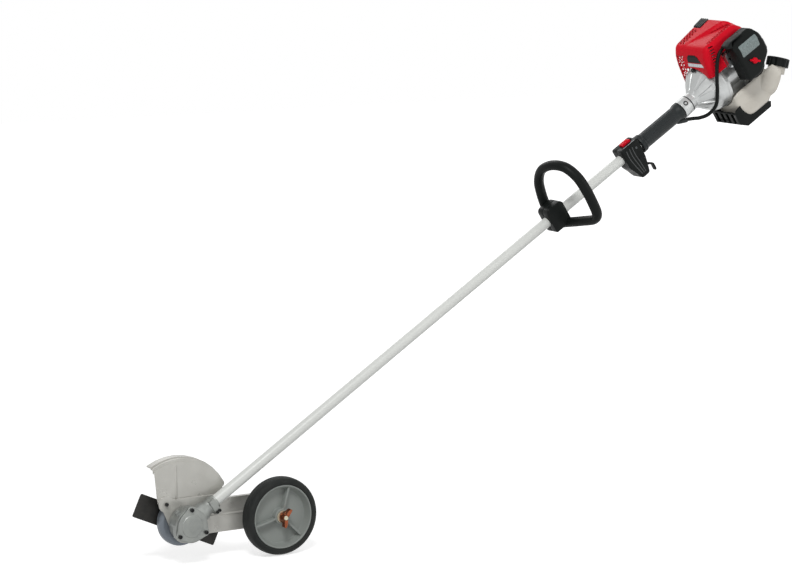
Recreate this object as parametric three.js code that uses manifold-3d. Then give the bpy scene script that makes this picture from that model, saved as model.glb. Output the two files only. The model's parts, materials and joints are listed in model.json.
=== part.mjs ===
// Petrol lawn edger in its working posture, standing on its guide wheel and held at its shaft.
// Millimetres, +Z up. +X runs from the cutting head towards the engine, +Y from the wheel
// towards the blade. The origin lies under the middle of the machine, on the ground.

import * as THREE from 'three';
import * as BufferGeometryUtils from 'three/addons/utils/BufferGeometryUtils.js';
import Module from 'manifold-3d';

const wasm = await Module();
wasm.setup();

// Fits shared by the whole machine

const fit = 0.3;
const turning = 0.4;
const overrun = 4;
const smooth = 14;
const plain = 10;
const coarse = 6;

// Shaft tube and drive line

const tube = { radius: 11.5, wall: 1.6, tilt: 32.65, lower: 36, upper: 1502 };
const driveShaft = { radius: 3.6 };
const bush = { length: 22, groove: 1.2, stations: [420, 1010] };

// Gearcase, measured from the point where shaft and arbor axes cross

const gearcase = {
  radius: 36, front: 20.7, back: 15, wall: 3.2, chamber: 28.5,
  neckRadius: 15.4, neckEnd: 77, shoulderRadius: 20, shoulderEnd: 47,
  pilotRadius: 17, pilotDepth: 5.4, ribThickness: 4,
};
const lobe = { circleRadius: 34.4, radius: 7.6, angles: [60, 180, 300] };
const cover = {
  radius: 32.6, thickness: 3.4, pad: 1.4, padShare: 0.74,
};
const coverScrew = { radius: 4.3, head: 4.2, shank: 2.4, reach: 12, socket: 2.4, depth: 2.2 };
const clampPad = { from: 59, width: 13, height: 19, thickness: 9, slit: 1.6, screw: 3.6, screwHead: 5 };
const greasePlug = { radius: 4.6, head: 5, across: 5.4, angle: 133, station: -9, stand: 3.2 };

// Bevel drive: the pinion turns about the shaft axis, the gear about the arbor axis

const bevel = {
  pinionTeeth: 10, gearTeeth: 19, module: 2.1, faceShare: 0.34,
  addendum: 1.15, dedendum: 1.75, backlash: 0.32, rim: 2.6,
};
const arbor = { radius: 5, cutterEnd: 61, stub: 18.4, collar: 7.2, stubRadius: 3.6 };
const arborBearing = { radius: 13, width: 8, from: 11.6 };
const pinionBearing = { radius: 10.6, width: 7, from: 27.4 };

// Cutting head: flanges, blade and nut

const innerFlange = { hub: 8.2, radius: 25, disc: 4.6, lip: 1.4, pilot: 12.4 };
const blade = { length: 203.2, width: 50.8, thickness: 2.6, station: 44.7, dip: 24.4, cornerRadius: 3 };
const outerFlange = { radius: 21, thickness: 2.8, dish: 1.2 };
const bladeNut = { across: 19, height: 8.4, flange: 12, flangeHeight: 1.6 };
const cup = { radius: 51, wall: 1.6, depth: 18, edgeRadius: 7, holeRadius: 18.2 };

// Blade guard: a pressed plate with a raised fan and a rolled skirt

const guard = {
  sheet: 2, near: 15.3, fanNear: 21.4, skirtDepth: 50, edgeRound: 9, stepFoot: 44.5, stepHead: 50.5,
  shoulderX: -42, waistX: -30, waistZ: -11, footX: -16, footZ: -40, soleX: 14, soleZ: -46, heelX: 42,
  heelZ: -20,
  ribAt: -14, ribWidth: 6, ribHeight: 1.8, bossRadius: 17, bossX: -40, bossZ: 43, bossScrew: 4.4,
  cornerRound: 14,
};
const fan = {
  centreX: -12, centreZ: -1.5, tipX: -67, tipZ: 120.5, cornerX: 101, cornerZ: 72, heelX: 90, footX: -57,
  bulge: 4.5,
};

// Wheel bracket: a flanged steel arm with a slot for the wheel bolt

const arm = {
  sheet: 2.6, top: 40.4, bottom: -30.6, beyondWheel: 30.5, headRadius: 44, flange: 9, creaseZ: 6.5,
  crease: 2.4,
  slotDown: 15, slotUp: 22, tail: 30,
};

// Guide wheel and its bolt

const wheel = {
  reach: 207.5, belowArbor: 4.1, radius: 82.5, near: -32, far: 4, seat: 67.8, crown: 2.6, edge: 5,
};
const rim = {
  barrel: 3, lip: 3.4, web: 3, webAt: -11, hub: 17, hubNear: -27, hubFar: 13.5, bore: 8.3,
  spoke: 4.4, spokeStart: 75, spokes: 3,
};
const axle = { radius: 5, head: 10, headHeight: 4, end: -44 };
const washer = { radius: 13.4, thickness: 2 };
const wing = { hub: 8, hubHeight: 12, span: 21, thickness: 3, root: 7, tip: 5.4, lift: 9, angle: 52 };

// Loop handle, set off to the user's left, and its clamp

const loop = {
  station: 1095, offset: -34, drop: 28, swing: 16.8, lean: 5.2, halfWidth: 68, height: 143,
  tubeAcross: 12.6, tubeThrough: 10.4,
};
const clamp = {
  station: 1072, width: 47, lower: 27, upper: 30, near: 20, far: 19, cornerRadius: 4, bevel: 6,
  screwRadius: 3.6, screwInset: 11, screwDepth: 1.2,
};

// Control housing, trigger and stop switch

const control = {
  start: 1279, end: 1334, top: 24.5, halfWidth: 19.5, foot: 61, footStart: 1299, footEnd: 1322,
  edgeRound: 5, cavity: 6.2, wall: 3, screwRadius: 3.4, screwRecess: 1.4,
};
const trigger = {
  pivotU: 1318, pivotV: -41, thickness: 5, halfWidth: 4.6, pin: 2.6, boss: 6, reach: 30, drop: 30,
};
const stopSwitch = { start: 1296, length: 24, width: 13, rise: 4.4, sink: 6, travel: 5, rib: 1.2,
  ribs: 4 };
const grip = {
  start: 1336, end: 1468, radius: 18.3, flare: 20.8, ring: 19.6, ringWidth: 6, flareLength: 14,
  groove: 0.9,
};

// Engine, measured along the shaft axis from the face where the clutch housing meets the crankcase

const housing = {
  length: 106, socket: 74, collar: 25, collarRadius: 21.5, plug: 38, neckRadius: 20, brim: 16,
  bellyRadius: 57,
  flangeRadius: 60, wall: 2.6, flute: 2.4, flutes: 14, pinch: 3.4, pinchHead: 5.4, boltCircleRadius: 54,
  boltHead: 4.4, boltRise: 3.6, bolts: 4,
};
const clutch = { drumRadius: 38, drumWall: 2.4, setBack: 42, depth: 20, shoeDepth: 14, slit: 3 };
const flywheel = { radius: 49, web: 4, bladeDepth: 9, blades: 8, bladeThickness: 2.2, hub: 13,
  innerShare: 0.56 };
const crank = { radius: 6, tail: 46, webRadius: 21, webThickness: 7, gap: 10, pin: 5, throw: 14 };
const crankcase = {
  length: 59.5, radius: 37, flangeRadius: 59, flange: 5, wall: 4, deckHalf: 34, deckTop: 38,
  footHalf: 26, foot: 44, bore: 25,
};
const cylinder = {
  centre: 31, bore: 18, barrel: 23, top: 93, fins: 6, finPitch: 8.4, finThickness: 2, finLong: 34,
  finWide: 31,
  headTop: 97, cornerRadius: 9,
};
const plug = { thread: 6.8, hexAcross: 16, hexHeight: 6 };
const muffler = {
  front: 8, width: 49, near: 37, far: 51, low: 8, high: 74, edgeRound: 8, pipe: 7, pipeLength: 2,
  seam: 1.4,
};
const hood = {
  front: -35, rear: 101, near: -63, far: 22, top: 108, crest: 82, browLow: 88, browDepth: 23,
  frontLean: 11,
  rearDrop: 88, rearFoot: 52, skirtFar: 16, wall: 2.4, edgeRound: 13, nearCut: 74, nearCutFrom: 16,
  nearLow: 40,
  ridgeNear: -14, ridgeRise: 10, postRadius: 5, postAhead: 22, postSide: 14,
  ventWidth: 3, vents: 8, ventPitch: 9, ventSlant: 24, ventLength: 13,
  ladderSlots: 5, ladderPitch: 8, ladderLow: 52, ladderHeight: 3.4,
};
const grille = {
  pitch: 12, thickness: 2.2, frame: 3.4, width: 34, reach: 84, rows: 8, drop: 15, edgeRound: 11,
  holeShare: 0.34,
};
const heatGuard = { ribs: 5, rib: 3, rise: 2.6, slope: 22 };
const spacer = { near: -52, depth: 9, half: 14, bore: 9, height: 34 };
const carburettor = { near: -73, bore: 8, edgeRound: 4, bowl: 9.4, bowlDepth: 6 };
const choke = { length: 30, width: 7, thickness: 2.6, pivotU: 58, pivotV: 62, boss: 5, rest: -20 };
const cleaner = {
  front: 24, rear: 103, low: -5, high: 97, baseDepth: 4.4, near: -110, wall: 2.4, edgeRound: 9,
  bevel: 26, bevelDepth: 15, heelRise: 32, heelRun: 40, labelInset: 11, labelLength: 53, labelLow: 53,
  labelHigh: 80,
  labelDepth: 0.9, knobU: 57, knobV: 31, stud: 3,
};
const filter = { inset: 4, depth: 17 };
const knob = { radius: 7, height: 6, wing: 12.5, wingThickness: 4.4, angle: -38 };
const tank = {
  near: -64, far: 58, wall: 2.4, front: -5, rear: 146, bottom: -97, top: -31, saddle: 61.4, edgeRound: 6,
  outlineShares: [
    [0, 0.56], [0.08, 0.12], [0.17, 0], [0.54, 0], [0.75, 0.12], [0.91, 0.41], [1, 0.68], [0.93, 0.94],
    [0.8, 1],
    [0.06, 1],
  ],
  neckRadius: 20, neckU: 151, neckV: -48.5, neckY: -38, neckHeight: 9, neckLean: 46, bore: 15.5,
  cornerRound: 10,
};
const cap = { radius: 26.5, height: 20, ribs: 10, rib: 1.5, gasketRadius: 19.4, gasket: 2 };
const stand = {
  near: -62, far: 24, wall: 3, slats: 4, slatWidth: 6, slatLow: -92, slatHigh: -70,
  front: -21, rear: 78, bottom: -109, top: -57,
  outlineShares: [
    [0.071, 0.933], [0, 0.827], [0, 0.288], [0.182, 0], [0.939, 0], [1, 0.212], [0.434, 0.75], [0.222, 1],
  ],
};
const starter = {
  length: 60.9, radius: 56, wall: 2.6, vents: 6, ventWidth: 6, ventInner: 24, ventOuter: 45, pulley: 28,
};
const pullGrip = { width: 62, height: 17, depth: 13, stem: 5, stemLength: 9, station: 104, reach: 66 };
const conduit = {
  radius: 4.2, sides: 4, ferrule: 5.6, startY: -8, startV: -24,
  route: [
    [-105.6, -8, -24], [-92, -10, -31], [-78, -16, -38], [-62, -30, -38], [-46, -48, -24], [-36, -60, 2],
    [-26, -69, 34], [-10, -72, 64], [6, -72, 80], [21, -72, 86],
  ],
};

// Paints and materials

const colours = {
  paleGrey: 0xdcdedb, castGrey: 0x9b9e9a, guardGrey: 0xb4b3ad, blueGrey: 0x777e85, steel: 0xb9bcbd,
  zinc: 0xcdc9ba, bladeBlack: 0x1d1d1c, rubber: 0x1f2322, rimGrey: 0x8a8f8b, copper: 0x96543a,
  blackPlastic: 0x262928, blackGrip: 0x2b2c2d, red: 0xdf1f2d, silver: 0xc9c9c5, tankWhite: 0xcfcac0,
  iron: 0x55585a, foam: 0x4c4f52, darkScrew: 0x2c2e2d, gasketBrown: 0x6d5a48,
};

// Working tools: closed solids from three.js geometry, joined and cut

function asSolid(geometry) {
  const bare = geometry.clone();
  bare.deleteAttribute('normal');
  bare.deleteAttribute('uv');
  const merged = BufferGeometryUtils.mergeVertices(bare);
  const points = merged.attributes.position;
  const index = merged.index.array;
  const corners = [];
  let volume = 0;
  const a = new THREE.Vector3();
  const b = new THREE.Vector3();
  const c = new THREE.Vector3();
  for (let i = 0; i < index.length; i += 3) {
    const [p, q, r] = [index[i], index[i + 1], index[i + 2]];
    if (p === q || q === r || r === p) continue;
    corners.push(p, q, r);
    a.fromBufferAttribute(points, p);
    b.fromBufferAttribute(points, q);
    c.fromBufferAttribute(points, r);
    volume += a.dot(b.cross(c));
  }
  if (volume < 0) corners.reverse();
  return new wasm.Manifold(new wasm.Mesh({
    numProp: 3,
    vertProperties: new Float32Array(points.array),
    triVerts: new Uint32Array(corners),
  }));
}

function joined(...solids) {
  return solids.reduce((whole, next) => whole.add(next));
}

function without(whole, ...cuts) {
  return cuts.reduce((left, next) => left.subtract(next), whole);
}

function asGeometry(body) {
  const mesh = body.getMesh();
  const geometry = new THREE.BufferGeometry();
  geometry.setAttribute('position', new THREE.BufferAttribute(new Float32Array(mesh.vertProperties),
    mesh.numProp));
  geometry.setIndex(new THREE.BufferAttribute(new Uint32Array(mesh.triVerts), 1));
  return geometry;
}

// Axes: the third direction of a drawn shape runs along the named axis

const X = new THREE.Vector3(1, 0, 0);
const Y = new THREE.Vector3(0, 1, 0);
const Z = new THREE.Vector3(0, 0, 1);
const bases = {
  x: new THREE.Matrix4().makeBasis(Y, Z, X),
  y: new THREE.Matrix4().makeBasis(Z, X, Y),
  z: new THREE.Matrix4(),
};

function block(x0, x1, y0, y1, z0, z1) {
  const geometry = new THREE.BoxGeometry(x1 - x0, y1 - y0, z1 - z0);
  geometry.translate((x0 + x1) / 2, (y0 + y1) / 2, (z0 + z1) / 2);
  return asSolid(geometry);
}

// A turned piece: profile of [station along the axis, radius], closed on the axis or on itself
function turned(axis, profile, sides = smooth) {
  const points = profile.map(([station, radius]) => new THREE.Vector2(radius, station));
  const ends = [profile[0][1], profile[profile.length - 1][1]];
  if (ends[0] > 0 || ends[1] > 0) points.push(points[0].clone());
  const geometry = new THREE.LatheGeometry(points, sides);
  geometry.rotateX(Math.PI / 2);
  geometry.applyMatrix4(bases[axis]);
  return asSolid(geometry);
}

function rod(axis, radius, from, to, sides = smooth) {
  return turned(axis, [[from, 0], [from, radius], [to, radius], [to, 0]], sides);
}

// A round hole's cutter, wide enough that its flats clear the radius
function bore(axis, radius, from, to, sides = smooth) {
  return rod(axis, radius / Math.cos(Math.PI / sides), from, to, sides);
}

function pipe(axis, outer, inner, from, to, sides = smooth) {
  return turned(axis, [[from, inner], [from, outer], [to, outer], [to, inner]], sides);
}

// An outline of [first, second] places, rounded by radius at its corners
function rounded(places, radius) {
  const shape = new THREE.Shape();
  const corners = places.map(([first, second]) => new THREE.Vector2(first, second));
  corners.forEach((corner, i) => {
    const before = corners[(i + corners.length - 1) % corners.length];
    const after = corners[(i + 1) % corners.length];
    const inLength = Math.min(radius, before.distanceTo(corner) / 2.1);
    const outLength = Math.min(radius, after.distanceTo(corner) / 2.1);
    const start = corner.clone().add(before.clone().sub(corner).setLength(inLength));
    const end = corner.clone().add(after.clone().sub(corner).setLength(outLength));
    if (i === 0) shape.moveTo(start.x, start.y);
    else shape.lineTo(start.x, start.y);
    shape.quadraticCurveTo(corner.x, corner.y, end.x, end.y);
  });
  shape.closePath();
  return shape;
}

function sharp(places) {
  return new THREE.Shape(places.map(([first, second]) => new THREE.Vector2(first, second)));
}

function disc(first, second, radius) {
  const shape = new THREE.Shape();
  shape.absarc(first, second, radius, 0, 2 * Math.PI, false);
  return shape;
}

// A shape drawn as (y, z), (x, z) or (x, y), drawn out along x, y or z
function drawn(axis, shape, from, to, curveSegments = 5) {
  const geometry = new THREE.ExtrudeGeometry(shape, { depth: to - from, bevelEnabled: false,
    curveSegments });
  geometry.translate(0, 0, from);
  if (axis === 'y') {
    const swap = new THREE.Matrix4().makeBasis(X, Z, Y);
    geometry.applyMatrix4(swap);
  } else {
    geometry.applyMatrix4(bases[axis]);
  }
  return asSolid(geometry);
}

// A skin over rings of equally many points, closed by caps or round on itself
function skinned(rings, closed = false) {
  const count = rings[0].length;
  const points = rings.flat();
  const index = [];
  const last = closed ? rings.length : rings.length - 1;
  for (let r = 0; r < last; r += 1) {
    const next = (r + 1) % rings.length;
    for (let i = 0; i < count; i += 1) {
      const j = (i + 1) % count;
      index.push(r * count + i, r * count + j, next * count + j);
      index.push(r * count + i, next * count + j, next * count + i);
    }
  }
  if (!closed) {
    for (let i = 1; i < count - 1; i += 1) {
      index.push(0, i + 1, i);
      const top = (rings.length - 1) * count;
      index.push(top, top + i, top + i + 1);
    }
  }
  const geometry = new THREE.BufferGeometry();
  geometry.setAttribute('position',
    new THREE.Float32BufferAttribute(points.flatMap((p) => [p.x, p.y, p.z]), 3));
  geometry.setIndex(index);
  return asSolid(geometry);
}

// A block of any outline whose rims at both ends are eased in towards its middle
function easedBlock(axis, shape, from, to, ease, curveSegments = 4, steps = 1) {
  const outline = shape.getPoints(curveSegments);
  if (outline[0].distanceTo(outline[outline.length - 1]) === 0) outline.pop();
  const box = new THREE.Box2().setFromPoints(outline);
  const middle = box.getCenter(new THREE.Vector2());
  const half = box.getSize(new THREE.Vector2()).multiplyScalar(0.5);
  const stations = [];
  for (let k = 0; k <= steps; k += 1) {
    const turn = (Math.PI / 2) * (k / steps);
    stations.push([from + ease * (1 - Math.sin(turn)), ease * (1 - Math.cos(turn))]);
  }
  stations.reverse();
  const both = [...stations, ...stations.map(([at, inset]) => [from + to - at, inset]).reverse()];
  const points = both.flatMap(([at, inset]) => outline.map((p) => new THREE.Vector3(
    middle.x + (p.x - middle.x) * (1 - inset / half.x),
      middle.y + (p.y - middle.y) * (1 - inset / half.y), at)));
  const count = outline.length;
  const index = [];
  for (let r = 0; r < both.length - 1; r += 1) {
    for (let i = 0; i < count; i += 1) {
      const j = (i + 1) % count;
      index.push(r * count + i, r * count + j, (r + 1) * count + j);
      index.push(r * count + i, (r + 1) * count + j, (r + 1) * count + i);
    }
  }
  const forward = !THREE.ShapeUtils.isClockWise(outline);
  THREE.ShapeUtils.triangulateShape(outline, []).forEach(([a, b, c]) => {
    const top = (both.length - 1) * count;
    if (forward) index.push(a, c, b, top + a, top + b, top + c);
    else index.push(a, b, c, top + a, top + c, top + b);
  });
  const geometry = new THREE.BufferGeometry();
  geometry.setAttribute('position',
    new THREE.Float32BufferAttribute(points.flatMap((p) => [p.x, p.y, p.z]), 3));
  geometry.setIndex(index);
  geometry.applyMatrix4(axis === 'y' ? new THREE.Matrix4().makeBasis(X, Z, Y) : bases[axis]);
  return asSolid(geometry);
}

function moved(body, x, y, z) {
  return body.translate([x, y, z]);
}

function hexagon(across, first = 0, second = 0) {
  const radius = across / Math.sqrt(3);
  const places = [];
  for (let i = 0; i < 6; i += 1) {
    const angle = (Math.PI / 3) * i;
    places.push([first + radius * Math.cos(angle), second + radius * Math.sin(angle)]);
  }
  return sharp(places);
}

// The scene graph: the machine, its tilted shaft frame and its level head frame

const edger = new THREE.Group();
const stance = new THREE.Group();
const head = new THREE.Group();
const shaft = new THREE.Group();
const engine = new THREE.Group();
edger.add(stance);
stance.add(head, shaft);
shaft.add(engine);
const arborHeight = wheel.radius + wheel.belowArbor;
head.position.z = arborHeight;
shaft.position.z = arborHeight;
shaft.rotation.y = -THREE.MathUtils.degToRad(tube.tilt);
const engineAt = tube.upper + housing.socket;
engine.position.x = engineAt;

function piece(group, name, body, colour, roughness, metalness) {
  const material = new THREE.MeshStandardMaterial({ color: colour, roughness, metalness,
    flatShading: true });
  const mesh = new THREE.Mesh(asGeometry(body), material);
  mesh.name = name;
  group.add(mesh);
  return mesh;
}

function polar(radius, degrees) {
  const angle = THREE.MathUtils.degToRad(degrees);
  return [radius * Math.cos(angle), radius * Math.sin(angle)];
}

// Gearcase and its fittings, in the shaft frame

function lobed(radius, reach) {
  const places = [];
  const steps = 24;
  const spread = 17;
  for (let i = 0; i < steps; i += 1) {
    const degrees = (360 / steps) * i;
    const near = Math.min(...lobe.angles.map((a) => Math.abs(((degrees - a + 540) % 360) - 180)));
    places.push(polar(radius + (reach - radius) * Math.exp(-((near / spread) ** 2)), degrees));
  }
  return sharp(places);
}

function radial(body, degrees) {
  return body.rotate([0, -degrees, 0]);
}

const lobeReach = lobe.circleRadius + lobe.radius;
const coverNear = -gearcase.front - fit - cover.thickness;
const coverScrewPlaces = lobe.angles.map((degrees) => polar(lobe.circleRadius, degrees));
const greaseAngle = greasePlug.angle - tube.tilt;
const neckBore = tube.radius + fit;
const bearingSeat = pinionBearing.radius + fit;
const clampEar = neckBore + clampPad.screw + clampPad.screwHead;
const sleeve = gearcase.pilotDepth + gearcase.back;

const caseShell = joined(
  drawn('y', lobed(gearcase.radius, lobeReach), -gearcase.front, -gearcase.front + coverScrew.reach),
  turned('y', [
    [-gearcase.front, 0], [-gearcase.front, gearcase.radius], [gearcase.back - gearcase.wall,
    gearcase.radius],
    [gearcase.back, gearcase.radius - gearcase.wall], [gearcase.back, 0],
  ], 20),
  rod('y', gearcase.pilotRadius, 0, sleeve, smooth),
  without(
    turned('x', [
      [0, 0], [0, gearcase.shoulderRadius], [gearcase.shoulderEnd - gearcase.wall,
      gearcase.shoulderRadius],
      [gearcase.shoulderEnd + gearcase.ribThickness, gearcase.neckRadius],
      [gearcase.neckEnd, gearcase.neckRadius],
      [gearcase.neckEnd, 0],
    ], smooth),
    block(0, gearcase.neckEnd + overrun, gearcase.back, gearcase.shoulderRadius + overrun,
      -gearcase.shoulderRadius, gearcase.shoulderRadius),
  ),
  block(clampPad.from, clampPad.from + clampPad.width, -gearcase.neckRadius - clampPad.slit, 0,
    -clampPad.height, clampPad.height - clampPad.screwHead),
  block(clampPad.from, clampPad.from + clampPad.width, -clampPad.thickness, clampPad.thickness, -clampEar,
    0),
  radial(moved(rod('x', greasePlug.radius + greasePlug.stand / 2, 0, gearcase.radius + greasePlug.stand,
    plain),
    0, greasePlug.station, 0), greaseAngle),
  radial(moved(drawn('x', hexagon(greasePlug.across * 1.6), gearcase.radius,
    gearcase.radius + greasePlug.stand
    + greasePlug.head), 0, greasePlug.station, 0), greaseAngle),
);
const caseHollows = [
  rod('y', gearcase.chamber, -gearcase.front - overrun, gearcase.back - gearcase.wall, 20),
  bore('y', arborBearing.radius + fit, 0, arborBearing.from + arborBearing.width, smooth),
  rod('y', innerFlange.hub + turning, 0, sleeve + overrun, smooth),
  rod('x', bearingSeat, 0, pinionBearing.from + pinionBearing.width + fit, smooth),
  rod('x', bearingSeat - gearcase.wall / 2, 0, tube.lower, smooth),
  rod('x', neckBore, tube.lower - fit, gearcase.neckEnd + overrun, smooth),
  block(clampPad.from - overrun, gearcase.neckEnd + overrun, -clampPad.slit / 2, clampPad.slit / 2,
    -clampEar - overrun, 0),
  ...coverScrewPlaces.map(([u, v]) => moved(rod('y', coverScrew.shank + fit, -gearcase.front - overrun,
    -gearcase.front + coverScrew.reach - gearcase.wall, coarse), u, 0, v)),
];
const pinchScrew = joined(
  moved(rod('y', clampPad.screwHead, -clampPad.thickness - coverScrew.head, -clampPad.thickness, coarse),
    clampPad.from + clampPad.width / 2, 0, -neckBore - clampPad.screw - fit),
  moved(rod('y', clampPad.screw, -clampPad.thickness, clampPad.thickness, coarse),
    clampPad.from + clampPad.width / 2, 0, -neckBore - clampPad.screw - fit),
);
piece(shaft, 'gearcase_body', joined(without(caseShell, ...caseHollows), pinchScrew),
  colours.castGrey, 0.5, 0.45);

const coverBody = without(
  joined(
    drawn('y', lobed(cover.radius, lobeReach), coverNear, coverNear + cover.thickness),
    turned('y', [
      [coverNear - cover.pad, 0], [coverNear - cover.pad, cover.radius * cover.padShare - cover.pad],
      [coverNear, cover.radius * cover.padShare], [coverNear, 0],
    ], 20),
    rod('y', arbor.collar, coverNear, -bevel.rim - arbor.collar * 2, plain),
  ),
  rod('y', arbor.stubRadius + turning, -arbor.stub - turning, 0, plain),
  ...coverScrewPlaces.map(([u, v]) => moved(rod('y', coverScrew.shank + fit, coverNear - overrun, 0,
    coarse), u, 0, v)),
);
piece(shaft, 'gearcase_cover', coverBody, colours.castGrey, 0.45, 0.5);

const screwSeat = coverNear - fit;
const coverScrewBody = without(
  joined(
    turned('y', [
      [screwSeat - coverScrew.head, 0], [screwSeat - coverScrew.head, coverScrew.radius * 0.88],
      [screwSeat - coverScrew.head * 0.85, coverScrew.radius], [screwSeat, coverScrew.radius],
      [screwSeat, 0],
    ], plain),
    rod('y', coverScrew.shank, screwSeat, -gearcase.front + coverScrew.reach - gearcase.wall - fit,
      coarse),
  ),
  drawn('y', hexagon(coverScrew.socket * 2), screwSeat - coverScrew.head - overrun,
    screwSeat - coverScrew.head + coverScrew.depth),
);
['cover_screw_top', 'cover_screw_front', 'cover_screw_rear'].forEach((name, i) => {
  const [u, v] = coverScrewPlaces[i];
  piece(shaft, name, moved(coverScrewBody, u, 0, v), colours.darkScrew, 0.4, 0.7);
});

// Shaft tube, bushes, drive shaft and bevel drive

piece(shaft, 'shaft_tube', pipe('x', tube.radius, tube.radius - tube.wall, tube.lower + fit, tube.upper,
  24),
  colours.paleGrey, 0.35, 0.2);
const bushOuter = tube.radius - tube.wall - fit;
const bushBore = driveShaft.radius + turning;
['shaft_bush_lower', 'shaft_bush_upper'].forEach((name, i) => {
  const from = bush.stations[i];
  const half = from + bush.length / 2;
  piece(shaft, name, turned('x', [
    [from, bushBore], [from, bushOuter], [half - bush.groove, bushOuter],
    [half - bush.groove, bushOuter - bush.groove],
    [half + bush.groove, bushOuter - bush.groove], [half + bush.groove, bushOuter],
    [from + bush.length, bushOuter],
    [from + bush.length, bushBore],
  ], plain), colours.iron, 0.7, 0);
});

const pinionPitch = (bevel.pinionTeeth * bevel.module) / 2;
const gearPitch = (bevel.gearTeeth * bevel.module) / 2;
const coneLength = Math.hypot(pinionPitch, gearPitch);

// A bevel wheel with its cone's apex at the origin and its axis along x
function bevelWheel(teeth, pitch, boreRadius, backLength, phase) {
  const tilt = Math.asin(pitch / coneLength);
  const toothShares = [[-1.36, 0], [-0.62, 1], [0.62, 1], [1.36, 0]];
  const place = (share, radialOut, angle) => {
    const length = coneLength * share;
    const radius = length * Math.sin(tilt) + radialOut * Math.cos(tilt) * share;
    const station = length * Math.cos(tilt) - radialOut * Math.sin(tilt) * share;
    return new THREE.Vector3(station, radius * Math.cos(angle), radius * Math.sin(angle));
  };
  const halfTooth = Math.PI / teeth / 2 - bevel.backlash / pitch / 2;
  const angles = [];
  for (let i = 0; i < teeth; i += 1) {
    toothShares.forEach(([side, rise]) => {
      angles.push([phase + (2 * Math.PI * i) / teeth + side * halfTooth, rise]);
    });
  }
  const toothRing = (share) => angles.map(([angle, rise]) => place(share,
    rise > 0 ? bevel.addendum : -bevel.dedendum, angle));
  const outer = toothRing(1);
  const inner = toothRing(1 - bevel.faceShare);
  const root = place(1, -bevel.dedendum, 0);
  const rootIn = place(1 - bevel.faceShare, -bevel.dedendum, 0);
  const back = root.x + bevel.rim;
  const ringAt = (station, radius) => angles.map(([angle]) => new THREE.Vector3(
    station, radius * Math.cos(angle), radius * Math.sin(angle)));
  const rings = [outer, inner, ringAt(rootIn.x, boreRadius), ringAt(back + backLength, boreRadius)];
  if (backLength > 0) rings.push(ringAt(back + backLength, root.y * 0.7), ringAt(back, root.y * 0.7));
  rings.push(ringAt(back, root.y));
  return skinned(rings, true);
}

const pinionBody = bevelWheel(bevel.pinionTeeth, pinionPitch, driveShaft.radius + fit, 0, -Math.PI);
piece(shaft, 'bevel_pinion', pinionBody, colours.steel, 0.35, 0.9);
const gearBody = bevelWheel(bevel.gearTeeth, gearPitch, arbor.radius + fit, 0, Math.PI / bevel.gearTeeth);
piece(shaft, 'bevel_gear', gearBody.rotate([0, 0, -90]), colours.steel, 0.35, 0.9);

const pinionBack = gearPitch + bevel.dedendum * (pinionPitch / coneLength) + bevel.rim;
const driveBody = joined(
  rod('x', driveShaft.radius, gearPitch * (1 - bevel.faceShare), engineAt - clutch.setBack
    + clutch.drumWall + fit,
    plain),
  rod('x', driveShaft.radius * 1.5, pinionBack + fit, pinionBearing.from - fit, plain),
);
piece(shaft, 'drive_shaft', driveBody, colours.steel, 0.4, 0.9);
function bearingRing(axis, outer, inner, from, width) {
  const shield = width * 0.1;
  const lip = (outer - inner) * 0.24;
  return turned(axis, [
    [from, inner], [from, inner + lip], [from + shield, inner + lip], [from + shield, outer - lip],
    [from, outer - lip], [from, outer], [from + width, outer], [from + width, inner],
  ], plain);
}
piece(shaft, 'pinion_bearing',
  bearingRing('x', pinionBearing.radius, driveShaft.radius + turning, pinionBearing.from,
    pinionBearing.width),
  colours.steel, 0.3, 0.9);
piece(shaft, 'arbor_bearing',
  bearingRing('y', arborBearing.radius, arbor.radius + turning, arborBearing.from, arborBearing.width),
  colours.steel, 0.3, 0.9);

// Cutting head, in the level head frame

const gearBack = -pinionPitch - bevel.dedendum * (gearPitch / coneLength) - bevel.rim;
piece(head, 'arbor_shaft', turned('y', [
  [-arbor.stub, 0], [-arbor.stub, arbor.stubRadius], [gearBack - fit, arbor.stubRadius],
  [gearBack - fit, arbor.radius],
  [-pinionPitch * (1 - bevel.faceShare) + arbor.stubRadius, arbor.radius],
  [-pinionPitch * (1 - bevel.faceShare) + arbor.stubRadius, arbor.collar],
  [arborBearing.from - fit, arbor.collar], [arborBearing.from - fit, arbor.radius],
  [arbor.cutterEnd - fit, arbor.radius],
  [arbor.cutterEnd + fit, arbor.radius - fit * 2], [arbor.cutterEnd + fit, 0],
], plain), colours.steel, 0.35, 0.9);

const flangeFace = blade.station - fit;
const flangeBack = flangeFace - innerFlange.disc;
const hubStart = arborBearing.from + arborBearing.width + fit;
const arborBore = arbor.radius + fit;
piece(head, 'inner_flange', turned('y', [
  [hubStart, arborBore], [hubStart, innerFlange.hub], [flangeBack - innerFlange.hub, innerFlange.hub],
  [flangeBack, innerFlange.hub * 2], [flangeBack + innerFlange.lip, innerFlange.radius],
  [flangeFace, innerFlange.radius], [flangeFace, innerFlange.radius - innerFlange.lip * 4],
  [flangeFace - innerFlange.lip / 2, innerFlange.radius - innerFlange.lip * 4.4],
  [flangeFace - innerFlange.lip / 2, innerFlange.pilot],
  [flangeFace + blade.thickness, innerFlange.pilot], [flangeFace + blade.thickness, arborBore],
], smooth), colours.iron, 0.5, 0.8);

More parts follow.
